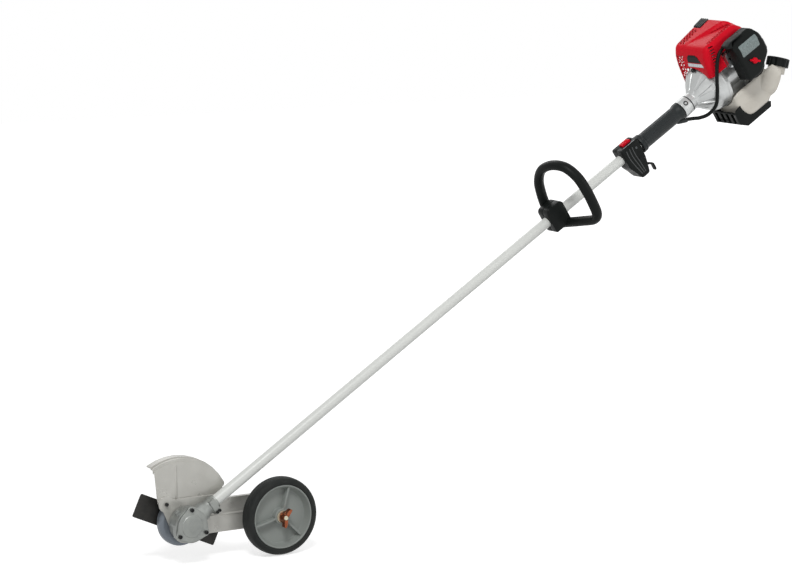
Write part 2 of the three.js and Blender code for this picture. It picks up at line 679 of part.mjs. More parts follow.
const halfLong = blade.length / 2;
const halfWide = blade.width / 2;
const edgeCut = drawn('x', sharp([
  [blade.station + blade.thickness, -halfWide - overrun], [blade.station + blade.thickness * 2,
  -halfWide - overrun],
  [blade.station + blade.thickness * 2, -halfWide + blade.cornerRadius * 2],
  [blade.station + blade.thickness, -halfWide + blade.cornerRadius * 2],
  [blade.station + blade.thickness * 0.35, -halfWide],
]), halfLong * 0.4, halfLong + overrun);
const bladeBody = without(
  drawn('y', rounded([
    [-halfLong, -halfWide], [halfLong, -halfWide], [halfLong, halfWide], [-halfLong, halfWide],
  ], blade.cornerRadius), blade.station, blade.station + blade.thickness, 3),
  rod('y', innerFlange.pilot + fit, blade.station - overrun, blade.station + blade.thickness + overrun,
    smooth),
  edgeCut,
  edgeCut.rotate([0, 180, 0]),
);
piece(head, 'blade', bladeBody.rotate([0, blade.dip, 0]), colours.bladeBlack, 0.55, 0.5);

const outerFace = blade.station + blade.thickness + fit;
piece(head, 'outer_flange', turned('y', [
  [outerFace, arborBore], [outerFace, outerFlange.radius], [outerFace + outerFlange.thickness / 2,
  outerFlange.radius],
  [outerFace + outerFlange.thickness, outerFlange.radius - outerFlange.dish * 2],
  [outerFace + outerFlange.thickness, arborBore],
], smooth), colours.iron, 0.45, 0.8);
const nutFace = outerFace + outerFlange.thickness + fit;
const nutBody = without(
  joined(
    rod('y', bladeNut.flange, nutFace, nutFace + bladeNut.flangeHeight, smooth),
    drawn('y', hexagon(bladeNut.across), nutFace, nutFace + bladeNut.height),
  ),
  rod('y', arborBore, nutFace - overrun, nutFace + bladeNut.height + overrun, plain),
);
piece(head, 'blade_nut', nutBody, colours.zinc, 0.4, 0.8);

// Blade guard, wheel bracket and dust cup, stacked on the gearcase's back

const guardFar = guard.near + guard.sheet;
const armNear = guardFar + fit;
const armFar = armNear + arm.sheet;
const cupNear = armFar + fit;
const pilotHole = gearcase.pilotRadius + fit;
const fanArc = (radius, count) => {
  const from = Math.atan2(fan.tipZ - fan.centreZ, fan.tipX - fan.centreX);
  const to = Math.atan2(fan.cornerZ - fan.centreZ, fan.cornerX - fan.centreX);
  const places = [];
  for (let i = 0; i <= count; i += 1) {
    const share = i / count;
    const reach = Math.hypot(fan.tipX - fan.centreX, fan.tipZ - fan.centreZ) * (1 - share)
      + Math.hypot(fan.cornerX - fan.centreX, fan.cornerZ - fan.centreZ) * share
      + fan.bulge * Math.sin(Math.PI * share) + radius;
    const angle = from + (to - from) * share;
    places.push([fan.centreX + reach * Math.cos(angle), fan.centreZ + reach * Math.sin(angle)]);
  }
  return places;
};
const fanFar = guard.fanNear + guard.sheet;
const fanSheet = (inset, from, to, open = 0) => drawn('y', sharp([
  [fan.footX - open, guard.stepHead], ...fanArc(-inset, 9), [fan.heelX + open, guard.stepHead],
]), from, to);
const opened = guard.edgeRound * 3;
const rolled = [0, 0.5, 1].map((share) => guard.edgeRound * (1 - Math.sin(share * Math.PI / 2)));
const shellSteps = [0, 0.3, 1].map((share) => guard.fanNear + guard.edgeRound * share);
const lap = fit / 10;
const fanOuter = joined(
  fanSheet(rolled[0], shellSteps[0], shellSteps[1]),
  fanSheet(rolled[1], shellSteps[1] - lap, shellSteps[2]),
  fanSheet(rolled[2], shellSteps[2] - lap, guard.skirtDepth),
);
const fanInner = joined(
  fanSheet(rolled[0] + guard.sheet, shellSteps[0] + guard.sheet, shellSteps[1] + guard.sheet, opened),
  fanSheet(rolled[1] + guard.sheet, shellSteps[1] + guard.sheet - lap, shellSteps[2] + guard.sheet,
    opened),
  fanSheet(rolled[2] + guard.sheet, shellSteps[2] + guard.sheet - lap, guard.skirtDepth + overrun,
    opened),
);
const plateOutline = rounded([
  [fan.footX, guard.stepHead], [guard.shoulderX, guard.stepHead / 3], [guard.waistX, guard.waistZ],
  [guard.footX, guard.footZ], [guard.soleX, guard.soleZ], [guard.heelX, guard.heelZ],
  [guard.heelX, guard.stepFoot - guard.cornerRound], [fan.heelX, guard.stepFoot],
  [fan.heelX, guard.stepHead],
], guard.cornerRound);
const bossDisc = disc(guard.bossX, guard.bossZ, guard.bossRadius);
const fanShell = without(
  fanOuter,
  fanInner,
  drawn('y', bossDisc, guard.fanNear - overrun, fanFar + overrun / 2, 8),
);
const insideLeft = block(fan.footX - overrun * 5, fan.footX - fit, guard.near - overrun, fanFar + overrun,
  guard.heelZ, guard.stepHead + guard.bossRadius);
const bossWall = without(
  drawn('y', bossDisc, guard.near, fanFar, 8),
  drawn('y', disc(guard.bossX, guard.bossZ, guard.bossRadius - guard.sheet), guard.near + guard.sheet,
    fanFar + overrun, 8),
  block(guard.bossX - guard.bossRadius * 2, guard.bossX + guard.bossRadius * 2, guardFar,
    fanFar + overrun,
    guard.bossZ - guard.bossRadius * 2, guard.stepFoot),
  insideLeft,
);
const stepWeb = drawn('x', sharp([
  [guard.near, guard.stepFoot], [guard.fanNear, guard.stepHead], [fanFar, guard.stepHead],
  [guardFar, guard.stepFoot],
]), fan.footX, fan.heelX);
const guardRib = without(
  moved(rod('z', guard.ribWidth / 2, guard.stepHead, fan.tipZ, coarse), guard.ribAt,
    guard.fanNear + guard.ribWidth / 2 - guard.ribHeight, 0),
  block(guard.ribAt - guard.ribWidth, guard.ribAt + guard.ribWidth, fanFar, fanFar + guard.ribWidth,
    guard.stepHead - overrun, fan.tipZ + overrun),
);
const guardScrew = moved(rod('y', guard.bossScrew, guard.near - guard.bossScrew / 2, guard.near, coarse),
  guard.bossX, 0, guard.bossZ);
const guardBody = joined(
  without(drawn('y', plateOutline, guard.near, guardFar, 4), bore('y', pilotHole, 0, guardFar + overrun,
    smooth)),
  without(stepWeb, drawn('y', bossDisc, guard.near - overrun, fanFar + overrun, 8)),
  bossWall,
  fanShell,
  guardRib,
  guardScrew,
);
piece(head, 'blade_guard', guardBody, colours.guardGrey, 0.4, 0.3);

// The wheel bracket: flanged arm, creased along its length, slotted for the wheel bolt

const axleZ = -wheel.belowArbor;
const slotHalf = axle.radius + fit;
const armReach = wheel.reach + arm.beyondWheel;
const armOutline = rounded([
  [-arm.headRadius * 0.42, arm.bottom + arm.sheet], [-arm.headRadius * 0.56, 0],
  [-arm.headRadius * 0.42, arm.top - arm.sheet],
  [0, arm.top], [armReach - arm.tail, arm.top], [armReach, arm.top - arm.tail],
  [armReach, arm.bottom + arm.tail / 2],
  [armReach - arm.tail / 2, arm.bottom], [0, arm.bottom],
], arm.flange);
const slotCut = drawn('y', (() => {
  const shape = new THREE.Shape();
  shape.absarc(wheel.reach, axleZ + arm.slotUp, slotHalf, 0, Math.PI, false);
  shape.absarc(wheel.reach, axleZ - arm.slotDown, slotHalf, Math.PI, 2 * Math.PI, false);
  shape.closePath();
  return shape;
})(), armNear - overrun * 2, armFar + overrun, 6);
const armFlangeFrom = cup.radius + overrun;
const armBody = without(
  joined(
    drawn('y', armOutline, armNear, armFar, 3),
    block(armFlangeFrom, armReach - arm.tail, armNear, armFar + arm.flange, arm.top - arm.sheet, arm.top),
    block(armFlangeFrom, armReach - arm.tail, armNear, armFar + arm.flange, arm.bottom,
      arm.bottom + arm.sheet),
    drawn('x', sharp([
      [armNear, arm.creaseZ - arm.crease], [armNear - arm.crease, arm.creaseZ],
      [armNear, arm.creaseZ + arm.crease],
    ]), guard.heelX + overrun, wheel.reach - arm.tail),
  ),
  bore('y', pilotHole, 0, armFar + overrun, smooth),
  slotCut,
);
piece(head, 'wheel_bracket', armBody, colours.guardGrey, 0.4, 0.35);

const mountBolts = [90, 215, 325].map((degrees) => polar(cup.holeRadius + gearcase.pilotRadius / 2,
  degrees));
const cupBody = joined(
  turned('y', [
    [cupNear, cup.holeRadius], [cupNear, cup.radius - cup.edgeRadius], [cupNear + cup.edgeRadius * 0.3,
    cup.radius - cup.edgeRadius * 0.3],
    [cupNear + cup.edgeRadius, cup.radius], [cupNear + cup.depth, cup.radius],
    [cupNear + cup.depth, cup.radius - cup.wall],
    [cupNear + cup.edgeRadius, cup.radius - cup.wall],
    [cupNear + cup.edgeRadius * 0.3 + cup.wall * 0.7, cup.radius - cup.edgeRadius * 0.3 - cup.wall * 0.7],
    [cupNear + cup.wall, cup.radius - cup.edgeRadius], [cupNear + cup.wall, cup.holeRadius],
  ], 18),
  ...mountBolts.map(([x, z]) => drawn('y', hexagon(coverScrew.radius * 2, x, z), cupNear,
    cupNear + cup.wall + coverScrew.head)),
);
piece(head, 'dust_cup', cupBody, colours.blueGrey, 0.5, 0.4);

// Guide wheel on its bolt: rim, tyre, sleeve, washer and wing nut

const hubStartY = rim.hubNear;
const sleeveNear = hubStartY - turning;
const sleeveFar = armNear - fit;
const rimWeb = rim.webAt;
const barrelOuter = wheel.seat - fit;
const barrelInner = barrelOuter - rim.barrel;
const rimNear = wheel.near + fit * 4;
const rimFar = wheel.far - fit * 4;
const wheelSides = 28;
const rimProfile = [
  [hubStartY, rim.bore], [hubStartY, rim.hub], [rimWeb - rim.web, rim.hub],
  [rimWeb - rim.web, barrelInner - rim.lip * 2], [rimNear, barrelInner],
  [rimNear, barrelOuter], [rimFar, barrelOuter], [rimFar, barrelInner],
  [rimWeb, barrelInner - rim.lip * 2], [rimWeb, rim.hub], [rim.hubFar, rim.hub], [rim.hubFar, rim.bore],
];
const spokeBodies = [];
for (let i = 0; i < rim.spokes; i += 1) {
  const bar = block(rim.hub - overrun / 2, barrelInner + rim.barrel / 2, rimNear + rim.lip,
    rimFar - rim.lip,
    -rim.spoke / 2, rim.spoke / 2);
  spokeBodies.push(radial(bar, rim.spokeStart + (360 / rim.spokes) * i));
}
const rimBody = joined(turned('y', rimProfile, wheelSides), ...spokeBodies);
const toWheel = (body) => moved(body, wheel.reach, 0, axleZ);
piece(head, 'wheel_rim', toWheel(rimBody), colours.rimGrey, 0.55, 0.05);

const midY = (wheel.near + wheel.far) / 2;
const halfY = (wheel.far - wheel.near) / 2;
const treadAt = (share) => wheel.radius - wheel.crown * share * share;
const tyreProfile = [
  [wheel.near, wheel.seat],
  [wheel.near, wheel.radius - wheel.edge - wheel.crown],
  [wheel.near + wheel.edge * 0.5, treadAt(1) - wheel.edge * 0.2],
  [midY - halfY * 0.4, wheel.radius],
  [midY + halfY * 0.4, wheel.radius],
  [wheel.far - wheel.edge * 0.5, treadAt(1) - wheel.edge * 0.2],
  [wheel.far, wheel.radius - wheel.edge - wheel.crown],
  [wheel.far, wheel.seat],
];
piece(head, 'tyre', toWheel(turned('y', tyreProfile, wheelSides)), colours.rubber, 0.85, 0);

const boltBody = joined(
  rod('y', axle.radius, axle.end, armFar + fit + axle.headHeight, plain),
  drawn('y', hexagon(axle.head * 1.7), armFar + fit, armFar + fit + axle.headHeight),
);
piece(head, 'axle_bolt', toWheel(boltBody), colours.zinc, 0.4, 0.85);
piece(head, 'axle_sleeve', toWheel(pipe('y', rim.bore - turning, axle.radius + fit, sleeveNear, sleeveFar,
  plain)),
  colours.steel, 0.4, 0.85);
const washerFar = sleeveNear - fit;
const washerNear = washerFar - washer.thickness;
piece(head, 'wheel_washer', toWheel(turned('y', [
  [washerNear, axle.radius + fit], [washerNear, washer.radius - fit * 2],
  [washerNear + fit * 2, washer.radius],
  [washerFar, washer.radius], [washerFar, axle.radius + fit],
], smooth)), colours.zinc, 0.3, 0.9);

const wingFar = washerNear - fit;
const wingNear = wingFar - wing.hubHeight;
const wingBlade = (side) => drawn('y', rounded([
  [0, -wing.root / 2], [0, wing.root / 2], [wing.span * 0.6, wing.root * 0.7],
  [wing.span, wing.tip * 0.5],
  [wing.span, -wing.tip * 0.4], [wing.span * 0.6, -wing.root * 0.4],
], wing.thickness), wingNear - wing.lift * 0.3, wingNear + wing.lift, 3).rotate([0, side, 0]);
const wingBody = without(
  joined(
    turned('y', [
      [wingNear, 0], [wingNear, wing.hub * 0.75], [wingFar - wing.thickness, wing.hub],
      [wingFar, wing.hub * 1.12],
      [wingFar, 0],
    ], plain),
    wingBlade(-wing.angle),
    wingBlade(wing.angle + 44),
  ),
  rod('y', axle.radius + fit, wingNear - overrun * 2, wingFar + overrun, plain),
);
piece(head, 'wing_nut', toWheel(wingBody), colours.copper, 0.35, 0.9);

// Loop handle: a rounded D swept in its own plane, with a seat for the tube

const swing = THREE.MathUtils.degToRad(loop.swing);
const lean = THREE.MathUtils.degToRad(loop.lean);
const loopAcross = new THREE.Vector3(Math.sin(swing), -Math.cos(swing), 0);
const loopUp = new THREE.Vector3(Math.sin(lean), 0, Math.cos(lean));
const loopNormal = new THREE.Vector3().crossVectors(loopAcross, loopUp).normalize();
const loopCentre = new THREE.Vector3(loop.station, loop.offset, -loop.drop);
const halfLoopShares = [[0.3, 0], [0.78, 0.01], [0.98, 0.1], [1, 0.3], [0.955, 0.53], [0.82, 0.76],
  [0.5, 0.94]];
const loopShares = [
  ...halfLoopShares, [0, 1], ...halfLoopShares.map(([side, up]) => [-side, up]).reverse(),
];
const loopCurve = new THREE.CatmullRomCurve3(loopShares.map(([side, up]) => loopCentre.clone()
  .addScaledVector(loopAcross, side * loop.halfWidth).addScaledVector(loopUp, up * loop.height)), true);

function loopSolid(grow) {
  const rings = [];
  const steps = 28;
  const sides = 8;
  for (let i = 0; i < steps; i += 1) {
    const centre = loopCurve.getPointAt(i / steps);
    const along = loopCurve.getTangentAt(i / steps);
    const inward = new THREE.Vector3().crossVectors(loopNormal, along).normalize();
    const ring = [];
    for (let j = 0; j < sides; j += 1) {
      const angle = (2 * Math.PI * j) / sides;
      ring.push(centre.clone().addScaledVector(inward, (loop.tubeThrough + grow) * Math.cos(angle))
        .addScaledVector(loopNormal, (loop.tubeAcross + grow) * Math.sin(angle)));
    }
    rings.push(ring);
  }
  return skinned(rings, true);
}

const clampFrom = clamp.station - clamp.width / 2;
const clampTo = clamp.station + clamp.width / 2;
const clampShape = rounded([
  [clampFrom, -clamp.lower], [clampTo, -clamp.lower], [clampTo, clamp.upper - clamp.bevel],
  [clampTo - clamp.bevel, clamp.upper], [clampFrom + clamp.bevel, clamp.upper],
  [clampFrom, clamp.upper - clamp.bevel],
], clamp.cornerRadius);
const tubeHole = rod('x', neckBore, clampFrom - overrun * 5, clampTo + overrun * 5, smooth);
const seatBody = without(
  joined(loopSolid(0), drawn('y', clampShape, fit / 2, clamp.far, 2)),
  tubeHole,
);
piece(shaft, 'loop_handle', seatBody, colours.blackPlastic, 0.6, 0);
const clampScrews = [-1, 1].flatMap((side) => [
  [clamp.station + side * (clamp.width / 2 - clamp.screwInset), clamp.upper - clamp.screwInset / 2],
  [clamp.station + side * (clamp.width / 2 - clamp.screwInset), -clamp.lower + clamp.screwInset],
]);
const clampBody = without(
  joined(
    without(drawn('y', clampShape, -clamp.near, -fit / 2, 2), tubeHole),
    ...clampScrews.map(([u, v]) => moved(rod('y', clamp.screwRadius, -clamp.near - clamp.screwDepth,
      -clamp.near, coarse),
      u, 0, v)),
  ),
  loopSolid(fit * 2),
);
piece(shaft, 'loop_clamp', clampBody, colours.blackPlastic, 0.55, 0);

// Control housing in two halves, with throttle trigger and stop switch

const midCavity = stopSwitch.width / 2 + fit;
const controlShape = rounded([
  [control.start, control.top], [control.start + control.wall, -control.top],
  [control.footStart - control.wall * 3, -control.top * 1.6],
  [control.footStart, -control.foot], [control.footEnd, -control.foot],
  [control.end - control.wall, -control.top],
  [control.end, control.top],
], control.edgeRound);
const switchSeat = control.top - stopSwitch.sink;
const switchPocket = block(stopSwitch.start - fit, stopSwitch.start + stopSwitch.length
  + stopSwitch.travel + fit,
  -midCavity, midCavity, switchSeat - fit, control.top + overrun);
const triggerCavity = drawn('y', sharp([
  [trigger.pivotU - trigger.boss * 1.5, trigger.pivotV + trigger.boss * 1.4],
  [control.end + overrun, trigger.pivotV + trigger.boss * 2.6],
  [control.end + overrun, -control.foot - overrun],
  [trigger.pivotU - trigger.boss * 1.5, -control.foot - overrun],
]), -control.cavity, control.cavity);
const pinHole = moved(bore('y', trigger.pin + fit, -control.halfWidth * 0.7, control.halfWidth * 0.7,
  coarse),
  trigger.pivotU, 0, trigger.pivotV);
const housingBlock = without(
  easedBlock('y', controlShape, -control.halfWidth, control.halfWidth, control.edgeRound * 0.6, 2, 1),
  rod('x', neckBore, control.start - overrun, control.end + overrun, smooth),
  switchPocket, triggerCavity, pinHole,
);
const controlHalves = [[-control.halfWidth - overrun, -fit / 2], [fit / 2, control.halfWidth + overrun]];
const housingScrew = moved(rod('y', control.screwRadius, -control.halfWidth - control.screwRecess,
  -control.halfWidth,
  coarse), control.footEnd - control.wall * 2, 0, -neckBore - control.screwRadius * 1.4);
['control_housing_near', 'control_housing_far'].forEach((name, i) => {
  const [from, to] = controlHalves[i];
  const half = housingBlock.intersect(block(control.start - overrun, control.end + overrun, from, to,
    -control.foot - overrun, control.top + overrun));
  piece(shaft, name, i === 0 ? half.add(housingScrew) : half, colours.blackPlastic, 0.6, 0);
});
const switchRibs = [];
for (let i = 0; i < stopSwitch.ribs; i += 1) {
  const at = stopSwitch.start + (stopSwitch.length * (i + 0.8)) / (stopSwitch.ribs + 0.6);
  switchRibs.push(block(at, at + stopSwitch.rib * 1.6, -stopSwitch.width / 2 + stopSwitch.rib,
    stopSwitch.width / 2 - stopSwitch.rib, control.top, control.top + stopSwitch.rise + stopSwitch.rib));
}
piece(shaft, 'stop_switch', joined(
  block(stopSwitch.start, stopSwitch.start + stopSwitch.length, -stopSwitch.width / 2,
    stopSwitch.width / 2,
    switchSeat, control.top + stopSwitch.rise),
  ...switchRibs,
), colours.red, 0.45, 0);

const triggerOutline = rounded([
  [trigger.pivotU - trigger.boss, trigger.pivotV + trigger.boss * 0.6],
  [trigger.pivotU + trigger.boss, trigger.pivotV + trigger.boss],
  [trigger.pivotU + trigger.reach * 0.55, trigger.pivotV - trigger.boss * 0.6],
  [trigger.pivotU + trigger.reach, trigger.pivotV - trigger.drop * 0.45],
  [trigger.pivotU + trigger.reach, trigger.pivotV - trigger.drop],
  [trigger.pivotU + trigger.reach - trigger.thickness, trigger.pivotV - trigger.drop
  - trigger.thickness / 2],
  [trigger.pivotU + trigger.reach - trigger.thickness, trigger.pivotV - trigger.drop * 0.5],
  [trigger.pivotU + trigger.reach * 0.5, trigger.pivotV - trigger.boss * 0.6 - trigger.thickness],
  [trigger.pivotU - trigger.boss, trigger.pivotV - trigger.boss],
], trigger.thickness * 0.8);
piece(shaft, 'throttle_trigger', joined(
  drawn('y', triggerOutline, -trigger.halfWidth, trigger.halfWidth, 3),
  moved(rod('y', trigger.pin, -control.halfWidth * 0.7 + fit, control.halfWidth * 0.7 - fit, coarse),
    trigger.pivotU, 0, trigger.pivotV),
), colours.blackPlastic, 0.5, 0);

// Rear grip: a ringed rubber sleeve, flared at its rear, with a gland for the conduit

const gripProfile = [
  [grip.start, neckBore], [grip.start, grip.ring], [grip.start + grip.ringWidth, grip.ring],
  [grip.start + grip.ringWidth, grip.radius - grip.groove], [grip.start + grip.ringWidth * 2,
  grip.radius],
  [grip.end - grip.flareLength, grip.radius], [grip.end - grip.flareLength * 0.4, grip.flare],
  [grip.end - grip.groove, grip.flare], [grip.end, grip.flare - grip.groove], [grip.end, neckBore],
];
const glandFrom = grip.end - grip.flareLength * 1.6;
const gland = joined(
  moved(rod('x', conduit.ferrule + fit, glandFrom, grip.end, plain), 0, conduit.startY, conduit.startV),
  block(glandFrom, grip.end, conduit.startY - conduit.radius, conduit.startY + conduit.radius,
    conduit.startV, -grip.radius + grip.groove * 2),
);
piece(shaft, 'rear_grip', joined(turned('x', gripProfile, smooth), gland), colours.blackGrip, 0.8, 0);

const conduitCurve = new THREE.CatmullRomCurve3(conduit.route.map((at) => new THREE.Vector3(...at)));
const conduitGeometry = new THREE.ExtrudeGeometry(disc(0, 0, conduit.radius), {
  extrudePath: conduitCurve, steps: 20, curveSegments: conduit.sides, bevelEnabled: false,
});
piece(engine, 'throttle_conduit', asSolid(conduitGeometry), colours.blackPlastic, 0.7, 0);

// Clutch housing: a fluted cone with a split collar on the tube

const housingStart = -housing.length;
const collarEnd = housingStart + housing.collar;
const plugEnd = housingStart + housing.plug;
const housingShares = [0, 0.2, 0.5, 1];
const coneStation = (share) => plugEnd + (-housing.brim - plugEnd) * share;
const bulgeShare = 1.25;
const housingBulge = (share) => Math.sin((share * Math.PI) / 2) ** bulgeShare;
const flutedRings = housingShares.map((share) => {
  const station = coneStation(share);
  const radius = housing.neckRadius + (housing.bellyRadius - housing.neckRadius) * housingBulge(share);
  const depth = housing.flute * Math.sin(share * Math.PI);
  const ring = [];
  const count = housing.flutes * 2;
  for (let i = 0; i < count; i += 1) {
    const angle = (2 * Math.PI * i) / count;
    const r = radius - (i % 2 ? depth : 0);
    ring.push(new THREE.Vector3(station, r * Math.cos(angle), r * Math.sin(angle)));
  }
  return ring;
});
const boreEnd = fit - housing.socket;
const bellyInner = housing.bellyRadius - housing.wall;
const coneInner = (share) => housing.neckRadius
  + (housing.bellyRadius - housing.neckRadius) * housingBulge(share)
  - housing.wall - housing.flute;
const flangeBolts = [];
for (let i = 0; i < housing.bolts; i += 1) {
  const [y, v] = polar(housing.boltCircleRadius, 45 + (360 / housing.bolts) * i);
  flangeBolts.push(moved(rod('x', housing.boltHead, -housing.wall * 2 - housing.boltRise,
    -housing.wall, coarse), 0, y, v));
}
const housingBody = without(
  joined(
    turned('x', [
      [housingStart, 0], [housingStart, housing.collarRadius],
      [collarEnd - fit * 4, housing.collarRadius],
      [collarEnd - fit * 4, housing.neckRadius - fit * 3],
      [collarEnd + fit * 2, housing.neckRadius - fit * 3],
      [collarEnd + fit * 2, housing.neckRadius], [plugEnd, housing.neckRadius], [plugEnd, 0],
    ], smooth),
    skinned(flutedRings),
    turned('x', [
      [-housing.brim - fit, 0], [-housing.brim - fit, housing.bellyRadius],
      [-housing.wall * 2, housing.bellyRadius + fit * 4],
      [-housing.wall, housing.flangeRadius], [0, housing.flangeRadius], [0, 0],
    ], 24),
    ...flangeBolts,
  ),
  turned('x', [
    [housingStart - overrun, 0], [housingStart - overrun, neckBore], [boreEnd, neckBore],
    [boreEnd, neckBore - tube.wall * 2], [coneStation(0.22), neckBore - tube.wall * 2],
    [coneStation(0.3), coneInner(0.3)],
    [coneStation(0.52), coneInner(0.52)], [coneStation(0.76), coneInner(0.76)],
    [-housing.brim, bellyInner - housing.flute],
    [overrun, bellyInner], [overrun, 0],
  ], 14),
  block(housingStart - overrun, collarEnd - fit * 4, -housing.wall / 4, housing.wall / 4,
    -housing.collarRadius * 2, 0),
).add(moved(rod('y', housing.pinchHead, -housing.collarRadius - housing.pinch, -housing.collarRadius
  + housing.pinch,
  coarse), housingStart + housing.collarRadius / 2, 0, housing.collarRadius / 3));
piece(engine, 'clutch_housing', housingBody, colours.silver, 0.35, 0.7);

// Clutch, flywheel and crankshaft

const drumFrom = -clutch.setBack;
const drumBack = drumFrom + clutch.drumWall;
piece(engine, 'clutch_drum', turned('x', [
  [drumFrom, driveShaft.radius + fit], [drumFrom, clutch.drumRadius - clutch.drumWall],
  [drumFrom + clutch.drumWall, clutch.drumRadius], [drumFrom + clutch.depth, clutch.drumRadius],
  [drumFrom + clutch.depth, clutch.drumRadius - clutch.drumWall],
  [drumBack, clutch.drumRadius - clutch.drumWall],
  [drumBack, driveShaft.radius + fit],
], 18), colours.steel, 0.4, 0.85);
const shoeFrom = drumBack + clutch.drumWall;
const shoeRadius = clutch.drumRadius - clutch.drumWall - turning * 2;
const shoeBody = without(
  pipe('x', shoeRadius, crank.radius + fit, shoeFrom, shoeFrom + clutch.shoeDepth, 18),
  block(shoeFrom - overrun, shoeFrom + clutch.shoeDepth + overrun, crank.radius * 2,
    crank.radius * 2 + clutch.slit,
    -shoeRadius * 2, shoeRadius * 0.55),
  block(shoeFrom - overrun, shoeFrom + clutch.shoeDepth + overrun, -crank.radius * 2 - clutch.slit,
    -crank.radius * 2,
    -shoeRadius * 0.55, shoeRadius * 2),
);
piece(engine, 'clutch_shoes', shoeBody, colours.iron, 0.6, 0.7);

const shoeEnd = shoeFrom + clutch.shoeDepth;
const wheelFrom = shoeEnd + clutch.slit;
const vanes = [];
for (let i = 0; i < flywheel.blades; i += 1) {
  vanes.push(block(wheelFrom + flywheel.web - fit, wheelFrom + flywheel.web + flywheel.bladeDepth,
    flywheel.radius * flywheel.innerShare, flywheel.radius - fit, -flywheel.bladeThickness / 2,
    flywheel.bladeThickness / 2).rotate([(360 / flywheel.blades) * i, 0, 0]));
}
piece(engine, 'flywheel', joined(
  turned('x', [
    [wheelFrom, crank.radius + fit], [wheelFrom, flywheel.radius - flywheel.web / 2],
    [wheelFrom + flywheel.web / 2, flywheel.radius], [wheelFrom + flywheel.web, flywheel.radius],
    [wheelFrom + flywheel.web, flywheel.hub], [wheelFrom + flywheel.web * 2, flywheel.hub],
    [wheelFrom + flywheel.web * 2, crank.radius + fit],
  ], 18),
  ...vanes,
), colours.silver, 0.5, 0.6);

const webStart = cylinder.centre - crank.gap / 2 - crank.webThickness;
const webEnd = cylinder.centre + crank.gap / 2;
const crankBody = joined(
  rod('x', crank.radius, shoeFrom, webStart + fit, plain),
  moved(rod('x', crank.webRadius - crank.throw / 3, webStart, webStart + crank.webThickness, plain), 0, 0,
    -crank.throw / 3),
  moved(rod('x', crank.pin, webStart + fit, webEnd + crank.webThickness - fit, plain), 0, 0, crank.throw),
  moved(rod('x', crank.webRadius - crank.throw / 3, webEnd, webEnd + crank.webThickness, plain), 0, 0,
    -crank.throw / 3),
  block(webStart, webStart + crank.webThickness, -crank.radius, crank.radius, 0, crank.throw + crank.pin),
  block(webEnd, webEnd + crank.webThickness, -crank.radius, crank.radius, 0, crank.throw + crank.pin),
  rod('x', crank.radius, webEnd + crank.webThickness - fit, webEnd + crank.webThickness + crank.tail,
    plain),
);
piece(engine, 'crankshaft', crankBody, colours.steel, 0.35, 0.9);

// Crankcase and finned cylinder

const caseStart = fit;
const caseEnd = caseStart + crankcase.length;
const caseBody = without(
  joined(
    rod('x', crankcase.flangeRadius, caseStart, caseStart + crankcase.flange, 24),
    turned('x', [
      [caseStart, 0], [caseStart, crankcase.radius], [caseEnd - crankcase.wall, crankcase.radius],
      [caseEnd, crankcase.radius - crankcase.wall], [caseEnd, 0],
    ], smooth),
    block(caseStart + crankcase.flange, caseEnd, -crankcase.deckHalf, crankcase.deckHalf, 0,
      crankcase.deckTop),
    block(caseStart + crankcase.flange, caseEnd, -crankcase.footHalf, crankcase.footHalf,
      -crankcase.foot, 0),
    rod('x', starter.radius, caseEnd - crankcase.wall, caseEnd, 18),
  ),
  block(caseEnd - crankcase.wall - fit, caseEnd + overrun, muffler.near - overrun / 2, starter.radius * 2,
    muffler.low - overrun, starter.radius * 2),
  rod('x', crankcase.bore, webStart - crankcase.wall, webEnd + crank.webThickness + crankcase.wall,
    smooth),
  moved(rod('z', cylinder.bore + fit, 0, crankcase.deckTop + overrun, smooth), cylinder.centre, 0, 0),
  rod('x', crank.radius + turning, caseStart - overrun, caseEnd + overrun, plain),
);
piece(engine, 'crankcase', caseBody, colours.silver, 0.45, 0.6);

const deck = crankcase.deckTop + fit;
const finShape = (grow) => rounded([
  [cylinder.centre - cylinder.finLong - grow, -cylinder.finWide - grow],
  [cylinder.centre + cylinder.finLong + grow, -cylinder.finWide - grow],
  [cylinder.centre + cylinder.finLong + grow, cylinder.finWide + grow],
  [cylinder.centre - cylinder.finLong - grow, cylinder.finWide + grow],
], cylinder.cornerRadius);
const fins = [];
for (let i = 0; i < cylinder.fins; i += 1) {
  const low = deck + cylinder.finPitch * (i + 1);
  fins.push(drawn('z', finShape(i < 2 ? -cylinder.finPitch * 1.2 : 0), low, low + cylinder.finThickness,
    1));
}
const inletPort = block(cylinder.centre - spacer.half, cylinder.centre + spacer.half,
  spacer.near + spacer.depth + fit,
  0, deck, deck + spacer.height * 0.9);
const exhaustPort = block(cylinder.centre - muffler.pipe * 2, cylinder.centre + muffler.pipe * 2, 0,
  muffler.near - fit, deck, deck + muffler.pipe * 3);
